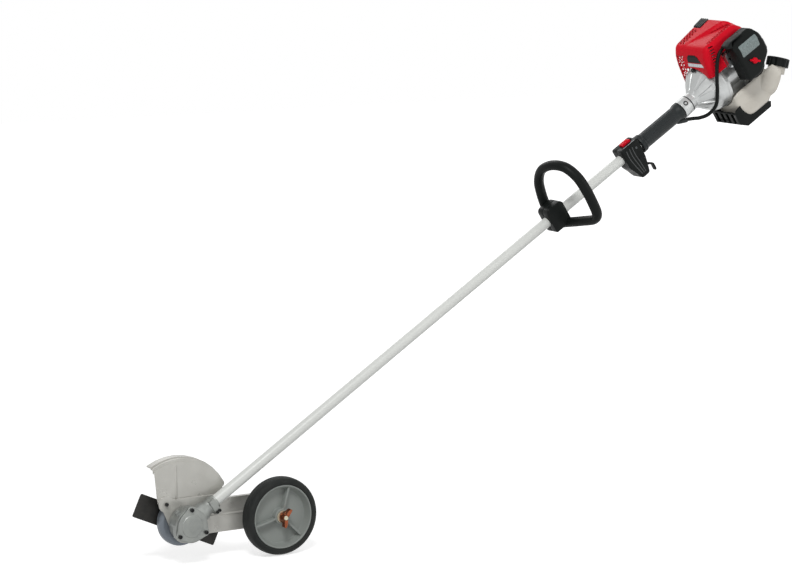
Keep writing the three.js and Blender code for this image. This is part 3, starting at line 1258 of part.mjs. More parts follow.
const cylinderBody = without(
  joined(
    moved(rod('z', cylinder.barrel, deck, cylinder.top, plain), cylinder.centre, 0, 0),
    moved(turned('z', [
      [cylinder.top - overrun, 0], [cylinder.top - overrun, cylinder.barrel],
      [cylinder.top, cylinder.barrel],
      [cylinder.headTop, plug.hexAcross * 0.7], [cylinder.headTop, 0],
    ], plain), cylinder.centre, 0, 0),
    block(cylinder.centre - crankcase.footHalf * 0.95, cylinder.centre + crankcase.footHalf * 0.9,
      -crankcase.footHalf * 1.2,
      crankcase.footHalf * 1.2, deck, deck + cylinder.finThickness * 2),
    ...fins, inletPort, exhaustPort,
  ),
  moved(rod('z', cylinder.bore, deck - overrun, cylinder.top - cylinder.finPitch, smooth),
    cylinder.centre, 0, 0),
  moved(bore('z', plug.thread + fit, cylinder.top - cylinder.finPitch * 2, cylinder.headTop + overrun,
    plain), cylinder.centre, 0, 0),
  moved(rod('y', spacer.bore, -cylinder.finWide * 2, 0, plain), cylinder.centre, 0,
    deck + spacer.height / 2),
  moved(rod('y', muffler.pipe, 0, cylinder.finWide * 2, plain), cylinder.centre, 0,
    deck + muffler.pipe * 1.5),
);
piece(engine, 'cylinder', cylinderBody, colours.silver, 0.5, 0.6);

const plugSeatV = cylinder.headTop + fit;
const plugTopV = plugSeatV + plug.hexHeight;
piece(engine, 'spark_plug', moved(joined(
  rod('z', plug.thread, cylinder.top - cylinder.finPitch + fit, plugSeatV + fit, coarse),
  rod('z', plug.hexAcross / 2, plugSeatV, plugTopV, 6),
), cylinder.centre, 0, 0), colours.zinc, 0.4, 0.8);

// Muffler, hung on the cylinder's far side

const mufflerRear = muffler.front + muffler.width;
const mufflerShape = rounded([
  [muffler.front, muffler.low], [mufflerRear, muffler.low], [mufflerRear, muffler.high],
  [muffler.front, muffler.high],
], muffler.edgeRound);
const mufflerBody = without(
  joined(
    easedBlock('y', mufflerShape, muffler.near, muffler.far, muffler.edgeRound * 0.4, 2, 1),
    drawn('y', rounded([
      [muffler.front - muffler.seam, muffler.low - muffler.seam],
      [mufflerRear + muffler.seam, muffler.low - muffler.seam],
      [mufflerRear + muffler.seam, muffler.high + muffler.seam],
      [muffler.front - muffler.seam, muffler.high + muffler.seam],
    ], muffler.edgeRound), (muffler.near + muffler.far) / 2, (muffler.near + muffler.far) / 2
      + muffler.seam, 2),
    moved(rod('y', muffler.pipe, muffler.far - overrun, muffler.far + muffler.pipeLength, plain),
      mufflerRear - muffler.pipe * 2,
      0, muffler.low + muffler.pipe * 2),
  ),
  moved(rod('y', muffler.pipe * 0.75, muffler.far - muffler.pipe, muffler.far + muffler.pipeLength
    + overrun, plain),
    mufflerRear - muffler.pipe * 2, 0, muffler.low + muffler.pipe * 2),
);
piece(engine, 'muffler', mufflerBody, colours.iron, 0.7, 0.6);

// Engine cover: a moulded hood over the cylinder, cut open for its neighbours

function hoodProfile(inset, rise = 0, drop = 0) {
  const low = inset > 0 ? -overrun * 3 : 0;
  return sharp([
    [hood.front + inset, hood.skirtFar + low - drop], [hood.front + hood.frontLean / 2 + inset,
    hood.skirtFar * 4],
    [hood.front + hood.frontLean + inset, hood.browLow - inset * 0.3],
    [hood.front + hood.browDepth + inset * 0.5, hood.top - inset],
    [hood.crest, hood.top + rise - inset], [hood.rear - inset, hood.rearDrop - inset * 0.4],
    [hood.rear - inset, hood.rearFoot + low],
  ]);
}
const hoodCuts = [
  rod('x', housing.flangeRadius + turning * 4, hood.front - overrun, caseStart + crankcase.flange
    + overrun, 24),
  rod('x', starter.radius + turning * 4, caseStart + crankcase.flange, hood.rear + overrun, 24),
  block(hood.front - overrun, hood.nearCutFrom + overrun, hood.near - overrun, 0, -overrun * 6,
    hood.nearLow),
  block(hood.nearCutFrom, hood.rear + overrun, hood.near - overrun, hood.near + hood.edgeRound * 2,
    -overrun * 4, hood.nearCut),
];
const vents = [];
for (let i = 0; i < hood.vents; i += 1) {
  const at = hood.crest - hood.ventPitch * (i + 0.8);
  [0, 1].forEach((row) => {
    const slot = block(-hood.ventLength / 2, hood.ventLength / 2, -hood.ventWidth / 2, hood.ventWidth / 2,
      hood.top - hood.wall * 3, hood.top + overrun).rotate([0, 0, 90 - hood.ventSlant]);
    vents.push(moved(slot, at, hood.near + hood.edgeRound + hood.ventLength * (0.75 + row * 1.3), 0));
  });
}
for (let i = 0; i < hood.ladderSlots; i += 1) {
  const low = hood.ladderLow + hood.ladderPitch * i;
  vents.push(block(hood.front + hood.edgeRound * 1.6, hood.nearCutFrom - hood.edgeRound * 0.7,
    hood.near - overrun,
    hood.near + hood.wall + overrun, low, low + hood.ladderHeight));
}
const hoodBody = without(
  joined(
    easedBlock('y', hoodProfile(0), hood.near, hood.far + hood.edgeRound, hood.edgeRound * 0.55, 1, 2),
    drawn('y', hoodProfile(0, hood.ridgeRise), hood.ridgeNear, hood.far),
  ),
  drawn('y', hoodProfile(hood.wall), hood.near + hood.wall, hood.far + overrun),
  drawn('y', hoodProfile(hood.wall, hood.ridgeRise), hood.ridgeNear + hood.wall, hood.far + overrun),
  block(hood.front - overrun, hood.rear + overrun, hood.far, hood.far + hood.edgeRound * 2, 0,
    hood.top * 2),
  ...hoodCuts, ...vents,
);
const coverPost = moved(
  rod('z', hood.postRadius, cylinder.top + fit, hood.top + hood.ridgeRise * 0.55, plain),
  cylinder.centre + hood.postAhead, hood.postSide, 0,
);
piece(engine, 'engine_cover', joined(hoodBody, coverPost), colours.red, 0.35, 0);

// Muffler cage: a latticed shell round the cover's far front corner, and the ribbed heat guard behind it

const cageNear = hood.far + fit;
const cageFar = hood.far + grille.width;
const cageEnd = hood.front + grille.reach;
const cageForm = (inset) => easedBlock('y', hoodProfile(inset, hood.ridgeRise, grille.drop), hood.near,
  cageFar - inset,
  grille.edgeRound - inset, 1, 2);
const cageShell = without(
  cageForm(0),
  cageForm(grille.thickness),
  block(hood.front - overrun, hood.rear + overrun, hood.near - overrun, cageNear, -hood.top,
    hood.top * 2),
);
const coneClear = turning * 4;
const cageCut = turned('x', [
  [hood.front - overrun, 0], [hood.front - overrun, housing.bellyRadius - housing.brim / 2],
  [-housing.brim - overrun, housing.bellyRadius + coneClear],
  [-housing.brim, housing.flangeRadius + coneClear],
  [caseStart + crankcase.flange + overrun, housing.flangeRadius + coneClear],
  [caseStart + crankcase.flange + overrun, starter.radius + coneClear],
  [hood.rear + overrun, starter.radius + coneClear], [hood.rear + overrun, 0],
], 24);
const half = grille.pitch * grille.holeShare;
const diamond = (axis) => block(-half, half, -half, half, -half, half).rotate(axis);
const sideHole = diamond([0, 45, 0]);
const frontHole = diamond([45, 0, 0]);
const topHole = diamond([0, 0, 45]);
const lattice = [];
for (let i = 0; i < grille.rows; i += 1) {
  for (let j = 0; j < grille.rows; j += 1) {
    const u = hood.front + grille.edgeRound + grille.pitch * (i + (j % 2) / 2);
    const v = hood.skirtFar + grille.pitch * (j / 2 + 0.5) * 2 - grille.drop;
    const inside = u < cageEnd - grille.pitch && v < hood.top - grille.pitch / 2
      && v > grille.pitch * i * 0.9 - grille.drop;
    if (inside) lattice.push(moved(sideHole, u, cageFar - grille.thickness / 2, v));
  }
  const row = hood.skirtFar + grille.frame + grille.pitch * (i + 0.5);
  [0, 1].forEach((column) => {
    const y = cageNear + grille.pitch * (column + 0.6);
    const v = row + (grille.pitch * column) / 2;
    if (v < hood.browLow) lattice.push(moved(frontHole, hood.front + hood.frontLean / 2, y, v));
    const u = hood.front + hood.browDepth + grille.pitch * (i + 0.8 + column / 2);
    if (u < cageEnd - grille.pitch) lattice.push(moved(topHole, u, y, hood.top + hood.ridgeRise * 0.4));
  });
}
const beyondCage = block(cageEnd, hood.rear + overrun, -overrun, cageFar + overrun, -hood.top,
  hood.top * 2);
piece(engine, 'muffler_cage', without(cageShell, cageCut, beyondCage, ...lattice), colours.red, 0.35, 0);

const heatFrom = cageEnd + fit;
const heatRibs = [];
for (let i = 0; i < heatGuard.ribs; i += 1) {
  const at = heatFrom + ((hood.rear - heatGuard.slope - heatFrom) * (i + 0.5)) / heatGuard.ribs;
  heatRibs.push(block(at, at + heatGuard.rib, cageNear + heatGuard.rib, cageFar - grille.edgeRound,
    hood.top + hood.ridgeRise * 0.4 - grille.thickness, hood.top + hood.ridgeRise * 0.7
      + heatGuard.rise));
}
piece(engine, 'heat_guard', without(
  joined(cageShell, ...heatRibs),
  block(hood.front - overrun, heatFrom, -overrun, cageFar + overrun, -hood.top, hood.top * 2),
  block(hood.front - overrun, hood.rear + overrun, -overrun, cageFar + overrun, -hood.top, hood.rearFoot),
), colours.blackPlastic, 0.55, 0);

// Intake side: carburettor on its heat block, choke lever, air cleaner

const intakeV = deck + spacer.height / 2;
const blockNear = spacer.near;
const spacerBody = without(
  block(cylinder.centre - spacer.half, cylinder.centre + spacer.half, blockNear, blockNear + spacer.depth,
    deck + fit, deck + spacer.height * 0.9 - fit),
  moved(rod('y', spacer.bore, blockNear - overrun, blockNear + spacer.depth + overrun, plain),
    cylinder.centre, 0, intakeV),
);
piece(engine, 'heat_block', spacerBody, colours.gasketBrown, 0.7, 0);

const carbFar = blockNear - fit;
const carbBody = without(
  joined(
    drawn('y', rounded([
      [cylinder.centre - spacer.half, deck + fit], [cylinder.centre + spacer.half, deck + fit],
      [cylinder.centre + spacer.half, deck + spacer.height * 0.9], [cylinder.centre - spacer.half,
      deck + spacer.height * 0.9],
    ], carburettor.edgeRound), carburettor.near, carbFar, 2),
    moved(rod('z', carburettor.bowl, deck - carburettor.bowlDepth, deck + overrun, plain),
      cylinder.centre,
      (carburettor.near + carbFar) / 2, 0),
  ),
  moved(rod('y', carburettor.bore, carburettor.near - overrun, carbFar + overrun, plain), cylinder.centre,
    0, intakeV),
);
piece(engine, 'carburettor', carbBody, colours.steel, 0.45, 0.7);

const baseNear = carburettor.near - fit - cleaner.baseDepth;
const baseFar = carburettor.near - fit;
function cleanerProfile(inset) {
  return rounded([
    [cleaner.front + inset, cleaner.low + inset], [cleaner.rear - cleaner.heelRun - inset / 2,
    cleaner.low + inset],
    [cleaner.rear - inset, cleaner.low + cleaner.heelRise + inset / 2],
    [cleaner.rear - inset, cleaner.high - cleaner.bevel + inset / 2], [cleaner.rear - cleaner.bevel / 2,
    cleaner.high - inset],
    [cleaner.front + cleaner.bevel / 3, cleaner.high - inset],
    [cleaner.front + inset, cleaner.high - cleaner.bevel / 2],
  ], cleaner.edgeRound);
}
const studAt = (from, to, radius) => moved(rod('y', radius, from, to, plain), cleaner.knobU, 0,
  cleaner.knobV);
const baseBody = without(
  joined(
    drawn('y', cleanerProfile(0), baseNear, baseFar, 3),
    studAt(cleaner.near + cleaner.wall, baseNear + fit, cleaner.stud),
  ),
  moved(rod('y', carburettor.bore, baseNear - overrun, baseFar + overrun, plain), cylinder.centre, 0,
    intakeV),
);
piece(engine, 'air_cleaner_base', baseBody, colours.blackPlastic, 0.6, 0);

const coverFar = baseNear - fit;
const filterNear = coverFar - filter.depth;
piece(engine, 'filter_element', without(
  drawn('y', cleanerProfile(cleaner.wall + filter.inset), filterNear, coverFar, 2),
  studAt(filterNear - overrun, coverFar + overrun, cleaner.stud + filter.inset),
), colours.foam, 0.95, 0);

const labelFrom = cleaner.front + cleaner.labelInset;
const labelCut = block(labelFrom, labelFrom + cleaner.labelLength, cleaner.near - overrun,
  cleaner.near + cleaner.labelDepth,
  cleaner.labelLow, cleaner.labelHigh);
const bevelCut = drawn('x', sharp([
  [cleaner.near - overrun, cleaner.high - cleaner.bevel], [cleaner.near, cleaner.high - cleaner.bevel],
  [cleaner.near + cleaner.bevelDepth, cleaner.high], [cleaner.near + cleaner.bevelDepth,
  cleaner.high + overrun],
  [cleaner.near - overrun, cleaner.high + overrun],
]), cleaner.front - overrun, cleaner.rear + overrun);
const bevelInner = moved(bevelCut, 0, cleaner.wall, -cleaner.wall * 0.6);
const coverOuter = without(
  easedBlock('y', cleanerProfile(0), cleaner.near, coverFar + cleaner.wall, cleaner.wall, 3, 1)
    .intersect(block(cleaner.front - overrun, cleaner.rear + overrun, cleaner.near - overrun, coverFar,
      cleaner.low - overrun, cleaner.high + overrun)),
  bevelCut, labelCut,
);
const coverInner = without(
  drawn('y', cleanerProfile(cleaner.wall), cleaner.near + cleaner.wall, coverFar + overrun, 3),
  bevelInner,
);
piece(engine, 'air_cleaner_cover', without(coverOuter, coverInner,
  studAt(cleaner.near - overrun, cleaner.near + cleaner.wall * 2, cleaner.stud + fit)),
    colours.blackPlastic, 0.5, 0);

const knobFar = cleaner.near - fit;
const knobBody = joined(
  turned('y', [
    [knobFar - knob.height, 0], [knobFar - knob.height, knob.radius * 0.8],
    [knobFar - knob.height * 0.6, knob.radius],
    [knobFar, knob.radius], [knobFar, 0],
  ], plain),
  block(-knob.wing, knob.wing, knobFar - knob.height, knobFar - fit, -knob.wingThickness / 2,
    knob.wingThickness / 2)
    .rotate([0, -knob.angle, 0]),
);
piece(engine, 'cover_knob', moved(knobBody, cleaner.knobU, 0, cleaner.knobV), colours.red, 0.4, 0);

const chokeFar = baseFar + choke.thickness + fit * 2;
const chokeBody = joined(
  moved(rod('y', choke.boss, chokeFar - choke.thickness, chokeFar, plain), choke.pivotU, 0, choke.pivotV),
  moved(block(0, choke.length, chokeFar - choke.thickness, chokeFar, -choke.width / 2, choke.width / 2)
    .rotate([0, choke.rest, 0]), choke.pivotU, 0, choke.pivotV),
);
piece(engine, 'choke_lever', chokeBody, colours.darkScrew, 0.6, 0);

// Fuel tank, saddled round the engine's underside, with its upturned neck, cap and gasket

const toNeck = (body) => moved(body.rotate([0, tank.neckLean, 0]), tank.neckU, tank.neckY, tank.neckV);
const capLow = -tank.neckHeight * 0.7;
const capTop = capLow + cap.height;
const tankRows = tank.outlineShares.map(([along, up]) => [
  tank.front + (tank.rear - tank.front) * along, tank.bottom + (tank.top - tank.bottom) * up,
]);
const tankCentre = [(tank.front + tank.rear) / 2, (tank.bottom + tank.top) / 2];
// The tank's form grown by a margin, or shrunk by a negative one
const tankForm = (grow) => without(
  easedBlock('y', rounded(tankRows.map(([u, v]) => [
    u + Math.sign(u - tankCentre[0]) * grow, v + Math.sign(v - tankCentre[1]) * grow,
  ]), tank.cornerRound), tank.near - grow, tank.far + grow, tank.edgeRound, 1, 1),
  rod('x', tank.saddle - grow, tank.front - overrun * 2, tank.rear + overrun * 2, 18),
);
const tankBody = without(
  joined(
    without(tankForm(0), toNeck(rod('z', cap.radius + turning * 2, capLow - turning, cap.height * 2,
      smooth))),
    toNeck(rod('z', tank.neckRadius, -tank.neckHeight * 2, 0, smooth)),
  ),
  without(tankForm(-tank.wall), toNeck(rod('z', cap.radius + tank.wall * 2, capLow - tank.wall,
    cap.height * 2, smooth))),
  toNeck(rod('z', tank.bore, -tank.neckHeight * 3, overrun, smooth)),
);
piece(engine, 'fuel_tank', tankBody, colours.tankWhite, 0.5, 0);

piece(engine, 'cap_gasket', toNeck(pipe('z', cap.gasketRadius, tank.bore - cap.gasket, fit,
  fit + cap.gasket, smooth)),
  colours.rubber, 0.8, 0);
const capRings = [];
[capLow, capTop - cap.rib * 2, capTop].forEach((station, k) => {
  const ring = [];
  for (let i = 0; i < cap.ribs * 2; i += 1) {
    const angle = (Math.PI * i) / cap.ribs;
    const radius = cap.radius - (i % 2 ? cap.rib : 0) - (k === 2 ? cap.rib * 1.5 : 0);
    ring.push(new THREE.Vector3(radius * Math.cos(angle), radius * Math.sin(angle), station));
  }
  capRings.push(ring);
});
const capBody = without(
  skinned(capRings),
  bore('z', tank.neckRadius + turning, capLow - overrun, fit + cap.gasket + fit, smooth),
);
piece(engine, 'fuel_cap', toNeck(capBody), colours.blackPlastic, 0.6, 0);

// Tank guard: a slatted front shield with a flat runner to rest on

const standRows = stand.outlineShares.map(([along, up]) => [
  stand.front + (stand.rear - stand.front) * along, stand.bottom + (stand.top - stand.bottom) * up,
]);
const standMiddle = standRows[6][0];
const slatCuts = [];
for (let i = 0; i < stand.slats; i += 1) {
  const y = stand.near + ((stand.far - stand.near) * (i + 0.75)) / (stand.slats + 0.5);
  slatCuts.push(block(stand.front - overrun, stand.front + overrun, y - stand.slatWidth / 2,
    y + stand.slatWidth / 2, stand.slatLow, stand.slatHigh));
}
const standHollow = sharp(standRows.map(([u, v], i) => {
  if (i > 4) return [u + stand.wall * 4, v + stand.wall * 5];
  return [u + Math.sign(standMiddle - u) * stand.wall, i === 0 ? v + overrun * 2 : v + stand.wall];
}));
const standBody = without(
  drawn('y', sharp(standRows), stand.near, stand.far),
  drawn('y', standHollow, stand.near + stand.wall, stand.far - stand.wall),
  easedBlock('y', rounded(tankRows.map(([u, v]) => [
    u + Math.sign(u - tankCentre[0]) * turning, v + Math.sign(v - tankCentre[1]) * turning,
  ]), tank.cornerRound), tank.near - fit * 2, tank.far + fit * 2, tank.edgeRound, 1, 1),
  bore('x', housing.flangeRadius + fit, housingStart, tank.rear, 24),
  ...slatCuts,
);
piece(engine, 'tank_guard', standBody, colours.blackPlastic, 0.65, 0);

// Recoil starter: vented dome with its rope guide, and the pull handle

const starterStart = caseEnd + fit;
const starterEnd = starterStart + starter.length;
const ventCuts = [];
for (let i = 0; i < starter.vents; i += 1) {
  ventCuts.push(block(starterEnd - starter.wall * 3, starterEnd + overrun, starter.ventInner,
    starter.ventOuter,
    -starter.ventWidth / 2, starter.ventWidth / 2).rotate([(360 / starter.vents) * (i + 0.5), 0, 0]));
}
const starterBody = without(
  joined(
    turned('x', [
      [starterStart, 0], [starterStart, starter.radius], [starterEnd - starter.wall * 6, starter.radius],
      [starterEnd - starter.wall * 2, starter.radius * 0.93], [starterEnd, starter.radius * 0.84],
      [starterEnd, 0],
    ], 20),
    block(pullGrip.station - pullGrip.stem * 2, pullGrip.station + pullGrip.stem * 2, starter.pulley,
      pullGrip.reach,
      -pullGrip.stem * 2, pullGrip.stem * 2),
  ),
  turned('x', [
    [starterStart - overrun, 0], [starterStart - overrun, starter.radius - starter.wall],
    [starterEnd - starter.wall * 6, starter.radius - starter.wall], [starterEnd - starter.wall * 2.4,
    starter.radius * 0.88],
    [starterEnd - starter.wall, starter.radius * 0.8], [starterEnd - starter.wall, 0],
  ], 20),
  moved(rod('y', pullGrip.stem, starter.pulley, pullGrip.reach + overrun, plain), pullGrip.station, 0, 0),
  ...ventCuts,
);
piece(engine, 'starter_housing', starterBody, colours.blackPlastic, 0.55, 0);

const gripAt = pullGrip.reach + fit;
piece(engine, 'starter_handle', joined(
  moved(rod('y', pullGrip.stem - turning, gripAt - pullGrip.stemLength, gripAt + overrun, plain),
    pullGrip.station, 0, 0),
  moved(easedBlock('y', rounded([
    [-pullGrip.height / 2, -pullGrip.width / 2], [pullGrip.height / 2, -pullGrip.width / 2],
    [pullGrip.height / 2, pullGrip.width / 2], [-pullGrip.height / 2, pullGrip.width / 2],
  ], pullGrip.height * 0.4), gripAt, gripAt + pullGrip.depth, pullGrip.depth * 0.2, 2, 1),
    pullGrip.station, 0, 0),
), colours.blackPlastic, 0.6, 0);

// Stand the machine over its origin, on the lowest point of its tyre

const extent = new THREE.Box3().setFromObject(edger, true);
stance.position.set(-(extent.min.x + extent.max.x) / 2, -(extent.min.y + extent.max.y) / 2,
  -extent.min.z);

export default edger;
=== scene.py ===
"""Petrol lawn edger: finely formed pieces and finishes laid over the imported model."""

import json

import bmesh
import bpy
import numpy as np
from mathutils import Matrix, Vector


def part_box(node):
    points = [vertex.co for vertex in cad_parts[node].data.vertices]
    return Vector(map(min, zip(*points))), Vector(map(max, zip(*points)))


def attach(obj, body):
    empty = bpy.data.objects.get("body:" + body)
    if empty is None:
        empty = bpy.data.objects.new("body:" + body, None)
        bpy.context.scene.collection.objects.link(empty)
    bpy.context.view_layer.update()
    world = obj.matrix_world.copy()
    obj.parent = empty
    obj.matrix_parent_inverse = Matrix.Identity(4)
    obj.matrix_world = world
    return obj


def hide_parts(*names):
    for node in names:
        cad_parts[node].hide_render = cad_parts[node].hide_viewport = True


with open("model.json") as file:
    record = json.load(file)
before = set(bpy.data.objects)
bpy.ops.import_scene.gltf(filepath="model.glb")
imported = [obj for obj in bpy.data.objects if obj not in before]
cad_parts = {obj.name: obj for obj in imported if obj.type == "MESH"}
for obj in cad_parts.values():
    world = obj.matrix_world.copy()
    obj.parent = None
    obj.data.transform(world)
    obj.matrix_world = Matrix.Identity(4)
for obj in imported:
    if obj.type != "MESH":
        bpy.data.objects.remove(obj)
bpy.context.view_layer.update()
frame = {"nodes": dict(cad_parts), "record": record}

# The machine's two frames, in millimetres: the level head frame and the tilted shaft frame,
# both from the point where the shaft and the arbor cross.

MM = 0.001
ARBOR_HEIGHT = 86.6
TILT = np.radians(32.65)
ALONG = np.array([np.cos(TILT), 0.0, np.sin(TILT)])
ACROSS = np.array([0.0, 1.0, 0.0])
ABOVE = np.array([-np.sin(TILT), 0.0, np.cos(TILT)])
WHEEL_X, WHEEL_Z, HALF_TRACK = 207.5, -4.1, 14.0
tyre_low, tyre_high = (np.array(corner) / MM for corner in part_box("tyre"))
STANCE = np.array([(tyre_low[0] + tyre_high[0]) / 2 - WHEEL_X,
                   (tyre_low[1] + tyre_high[1]) / 2 + HALF_TRACK, 0.0])
CROSSING = STANCE + np.array([0.0, 0.0, ARBOR_HEIGHT])


def on_shaft(u, y, v):
    """Metres of a place u along the shaft, y across and v above it: the crossing plus three directions."""
    u, y, v = np.broadcast_arrays(*(np.asarray(a, float) for a in (u, y, v)))
    return (CROSSING + u[..., None] * ALONG + y[..., None] * ACROSS + v[..., None] * ABOVE) * MM


def on_head(x, y, z):
    """Metres of a place in the level frame of the cutting head: the crossing plus the place."""
    x, y, z = np.broadcast_arrays(*(np.asarray(a, float) for a in (x, y, z)))
    return (CROSSING + np.stack([x, y, z], -1)) * MM


# Camera, at the photograph's viewing angle

EYE_FROM_STANCE = np.array([-2517.1, -5047.3, 1449.9])
AZIMUTH = np.radians(-30.86)
ELEVATION = np.radians(8.70)
RIGHT = np.array([np.cos(AZIMUTH), np.sin(AZIMUTH), 0.0])
BACK = np.array([np.sin(AZIMUTH) * np.cos(ELEVATION), -np.cos(AZIMUTH) * np.cos(ELEVATION),
                 np.sin(ELEVATION)])
UP = np.cross(BACK, RIGHT)
camera_data = bpy.data.cameras.new("studio_camera")
camera_data.sensor_width = 36.0
camera_data.lens = 127.67
camera_data.clip_end = 60.0
camera = bpy.data.objects.new("studio_camera", camera_data)
bpy.context.scene.collection.objects.link(camera)
camera.matrix_world = Matrix([[*col] for col in np.array([RIGHT, UP, BACK]).T]).to_4x4()
camera.location = (STANCE + EYE_FROM_STANCE) * MM
bpy.context.scene.camera = camera


# Finishes: moulded, cast, painted and plated surfaces, each with its own grain


def linear(hex_colour):
    """Linear colour of a written one: each channel through the standard display curve."""
    channels = np.array([(hex_colour >> shift) & 255 for shift in (16, 8, 0)]) / 255.0
    low = channels / 12.92
    high = ((channels + 0.055) / 1.055) ** 2.4
    return tuple(float(c) for c in np.where(channels <= 0.04045, low, high)) + (1.0,)


STAIN_FINENESS, SHEEN_FINENESS, GRAIN_DEPTH = 2.7, 4, 0.0006


def finish(name, colour, roughness, metallic=0.0, mottle=0.08, grain=260.0, bump=0.12, patch=9.0,
           spread=0.08, tint=None, tint_share=0.0, stretch=(1.0, 1.0, 1.0), gloss=0.5):
    """A surface with slow colour patches, fine grain in its bump and a roughness that drifts."""
    material = bpy.data.materials.new(name)
    material.use_nodes = True
    nodes, links = material.node_tree.nodes, material.node_tree.links
    shader = nodes["Principled BSDF"]
    shader.inputs["Metallic"].default_value = metallic
    shader.inputs["Specular IOR Level"].default_value = gloss
    place = nodes.new("ShaderNodeTexCoord")
    mapping = nodes.new("ShaderNodeMapping")
    mapping.inputs["Scale"].default_value = stretch
    links.new(place.outputs["Object"], mapping.inputs["Vector"])

    def noise(scale, detail):
        """Soft noise on the piece's own coordinates."""
        node = nodes.new("ShaderNodeTexNoise")
        node.inputs["Scale"].default_value = scale
        node.inputs["Detail"].default_value = detail
        links.new(mapping.outputs["Vector"], node.inputs["Vector"])
        return node

    def ranged(source, low, high):
        """The middle of a noise stretched to run from low to high."""
        node = nodes.new("ShaderNodeMapRange")
        node.inputs["From Min"].default_value = 0.3
        node.inputs["From Max"].default_value = 0.7
        node.inputs["To Min"].default_value = low
        node.inputs["To Max"].default_value = high
        links.new(source.outputs["Fac"], node.inputs["Value"])
        return node

    base = np.array(linear(colour)[:3])
    ramp = nodes.new("ShaderNodeValToRGB")
    ramp.color_ramp.elements[0].position = 0.32
    ramp.color_ramp.elements[1].position = 0.68
    ramp.color_ramp.elements[0].color = (*np.clip(base * (1 - mottle), 0, 1), 1)
    ramp.color_ramp.elements[1].color = (*np.clip(base * (1 + mottle), 0, 1), 1)
    links.new(noise(patch, 5.0).outputs["Fac"], ramp.inputs["Fac"])
    colour_out = ramp.outputs["Color"]
    if tint is not None:
        mix = nodes.new("ShaderNodeMix")
        mix.data_type = "RGBA"
        mix.inputs["B"].default_value = linear(tint)
        stained = ranged(noise(patch * STAIN_FINENESS, 6.0), 0.0, tint_share)
        links.new(stained.outputs["Result"], mix.inputs["Factor"])
        links.new(colour_out, mix.inputs["A"])
        colour_out = mix.outputs["Result"]
    links.new(colour_out, shader.inputs["Base Color"])
    handled = ranged(noise(patch * SHEEN_FINENESS, 4.0), roughness - spread, roughness + spread)
    links.new(handled.outputs["Result"], shader.inputs["Roughness"])
    relief = nodes.new("ShaderNodeBump")
    relief.inputs["Strength"].default_value = bump
    relief.inputs["Distance"].default_value = GRAIN_DEPTH
    links.new(noise(grain, 3.0).outputs["Fac"], relief.inputs["Height"])
    links.new(relief.outputs["Normal"], shader.inputs["Normal"])
    return material


FINISHES = {
    "pale": finish("tube_enamel", 0xE2E4E0, 0.3, mottle=0.02, bump=0.005, patch=5, gloss=0.35),
    "cast": finish("gearcase_casting", 0x9A9D99, 0.46, 0.55, mottle=0.12, grain=520, bump=0.35,
                   patch=26, tint=0x6B6F70, tint_share=0.35),
    "guardgrey": finish("guard_paint", 0xC0BFB9, 0.34, 0.3, mottle=0.06, grain=420, bump=0.1,
                        patch=7, tint=0x8A8984, tint_share=0.3),
    "bluegrey": finish("cup_paint", 0x747B83, 0.45, 0.3, mottle=0.1),
    "steel": finish("turned_steel", 0xB4B7B8, 0.36, 0.95, mottle=0.07, grain=700),
    "zinc": finish("zinc_plate", 0xC9C4B0, 0.3, 0.95, mottle=0.12, grain=600, bump=0.1,
                   patch=60, tint=0x9C8F6A, tint_share=0.4),
    "bladeblack": finish("blade_paint", 0x1E1E1D, 0.5, 0.35, mottle=0.25, grain=500, bump=0.25,
                         patch=22, tint=0x3A3733, tint_share=0.5),
    "tyre": finish("tyre_rubber", 0x1C1F1E, 0.7, mottle=0.16, grain=900, bump=0.3,
                   patch=14, tint=0x333431, tint_share=0.35, gloss=0.25),
    "rim": finish("rim_moulding", 0x8D928E, 0.52, mottle=0.05, grain=600, patch=11),
    "copper": finish("copper_plate", 0x9A573B, 0.28, 0.95, mottle=0.2, grain=500, bump=0.15,
                     patch=70, tint=0x5E3324, tint_share=0.5),
    "black": finish("black_moulding", 0x151817, 0.4, mottle=0.14, grain=1100, bump=0.14,
                    patch=12, gloss=0.1),
    "grip": finish("grip_rubber", 0x1C2122, 0.42, mottle=0.12, grain=1200, patch=16, gloss=0.25),
    "red": finish("red_moulding", 0xE0162A, 0.28, mottle=0.05, grain=60, bump=0.01,
                  patch=6, gloss=0.05),
    "silver": finish("silver_casting", 0xBEC0BF, 0.38, 0.75, mottle=0.05, grain=620, bump=0.04,
                     patch=12, tint=0x95989A, tint_share=0.25),
    "tank": finish("tank_moulding", 0xDCD8CE, 0.42, mottle=0.05, grain=500, bump=0.06,
                   patch=8, tint=0xB5AB9C, tint_share=0.35),
    "iron": finish("sintered_iron", 0x505355, 0.55, 0.8, mottle=0.15, grain=800, bump=0.3),
    "bushing": finish("damping_rubber", 0x3C3E40, 0.75, mottle=0.1, bump=0.2),
    "foam": finish("filter_foam", 0x4B4E51, 0.95, mottle=0.2, grain=1400, bump=0.9),
    "screw": finish("black_oxide", 0x2A2B2B, 0.38, 0.75, mottle=0.15, grain=900, bump=0.15),
    "spacer": finish("spacer_moulding", 0x6D5A48, 0.7, mottle=0.12, bump=0.2),
}
LABEL_GREY = finish("label_grey", 0x5E6B6B, 0.42, 0.1, mottle=0.3, grain=900, bump=0.1,
                    patch=260, tint=0xA9B4B2, tint_share=0.55)
INLAY_BLACK = finish("inlay_black", 0x0C0D0D, 0.35, mottle=0.1, grain=200, bump=0.01, gloss=0.1)
# Ribs in the same black plastic as their panels, coloured lighter: a painted highlight along the rib tops
RIB_PAINTED_HIGHLIGHT = finish("rib_painted_highlight", 0x3C3F3F, 0.3, mottle=0.1, grain=300, bump=0.01, gloss=0.4)
# Silver for the real strip under the badge, and for a painted highlight along the control housing's edge
SILVER_STRIP_AND_HIGHLIGHT = finish("silver_strip_and_highlight", 0xA9ADB0, 0.3, 0.7, grain=800, bump=0.05, stretch=(1, 9, 1))

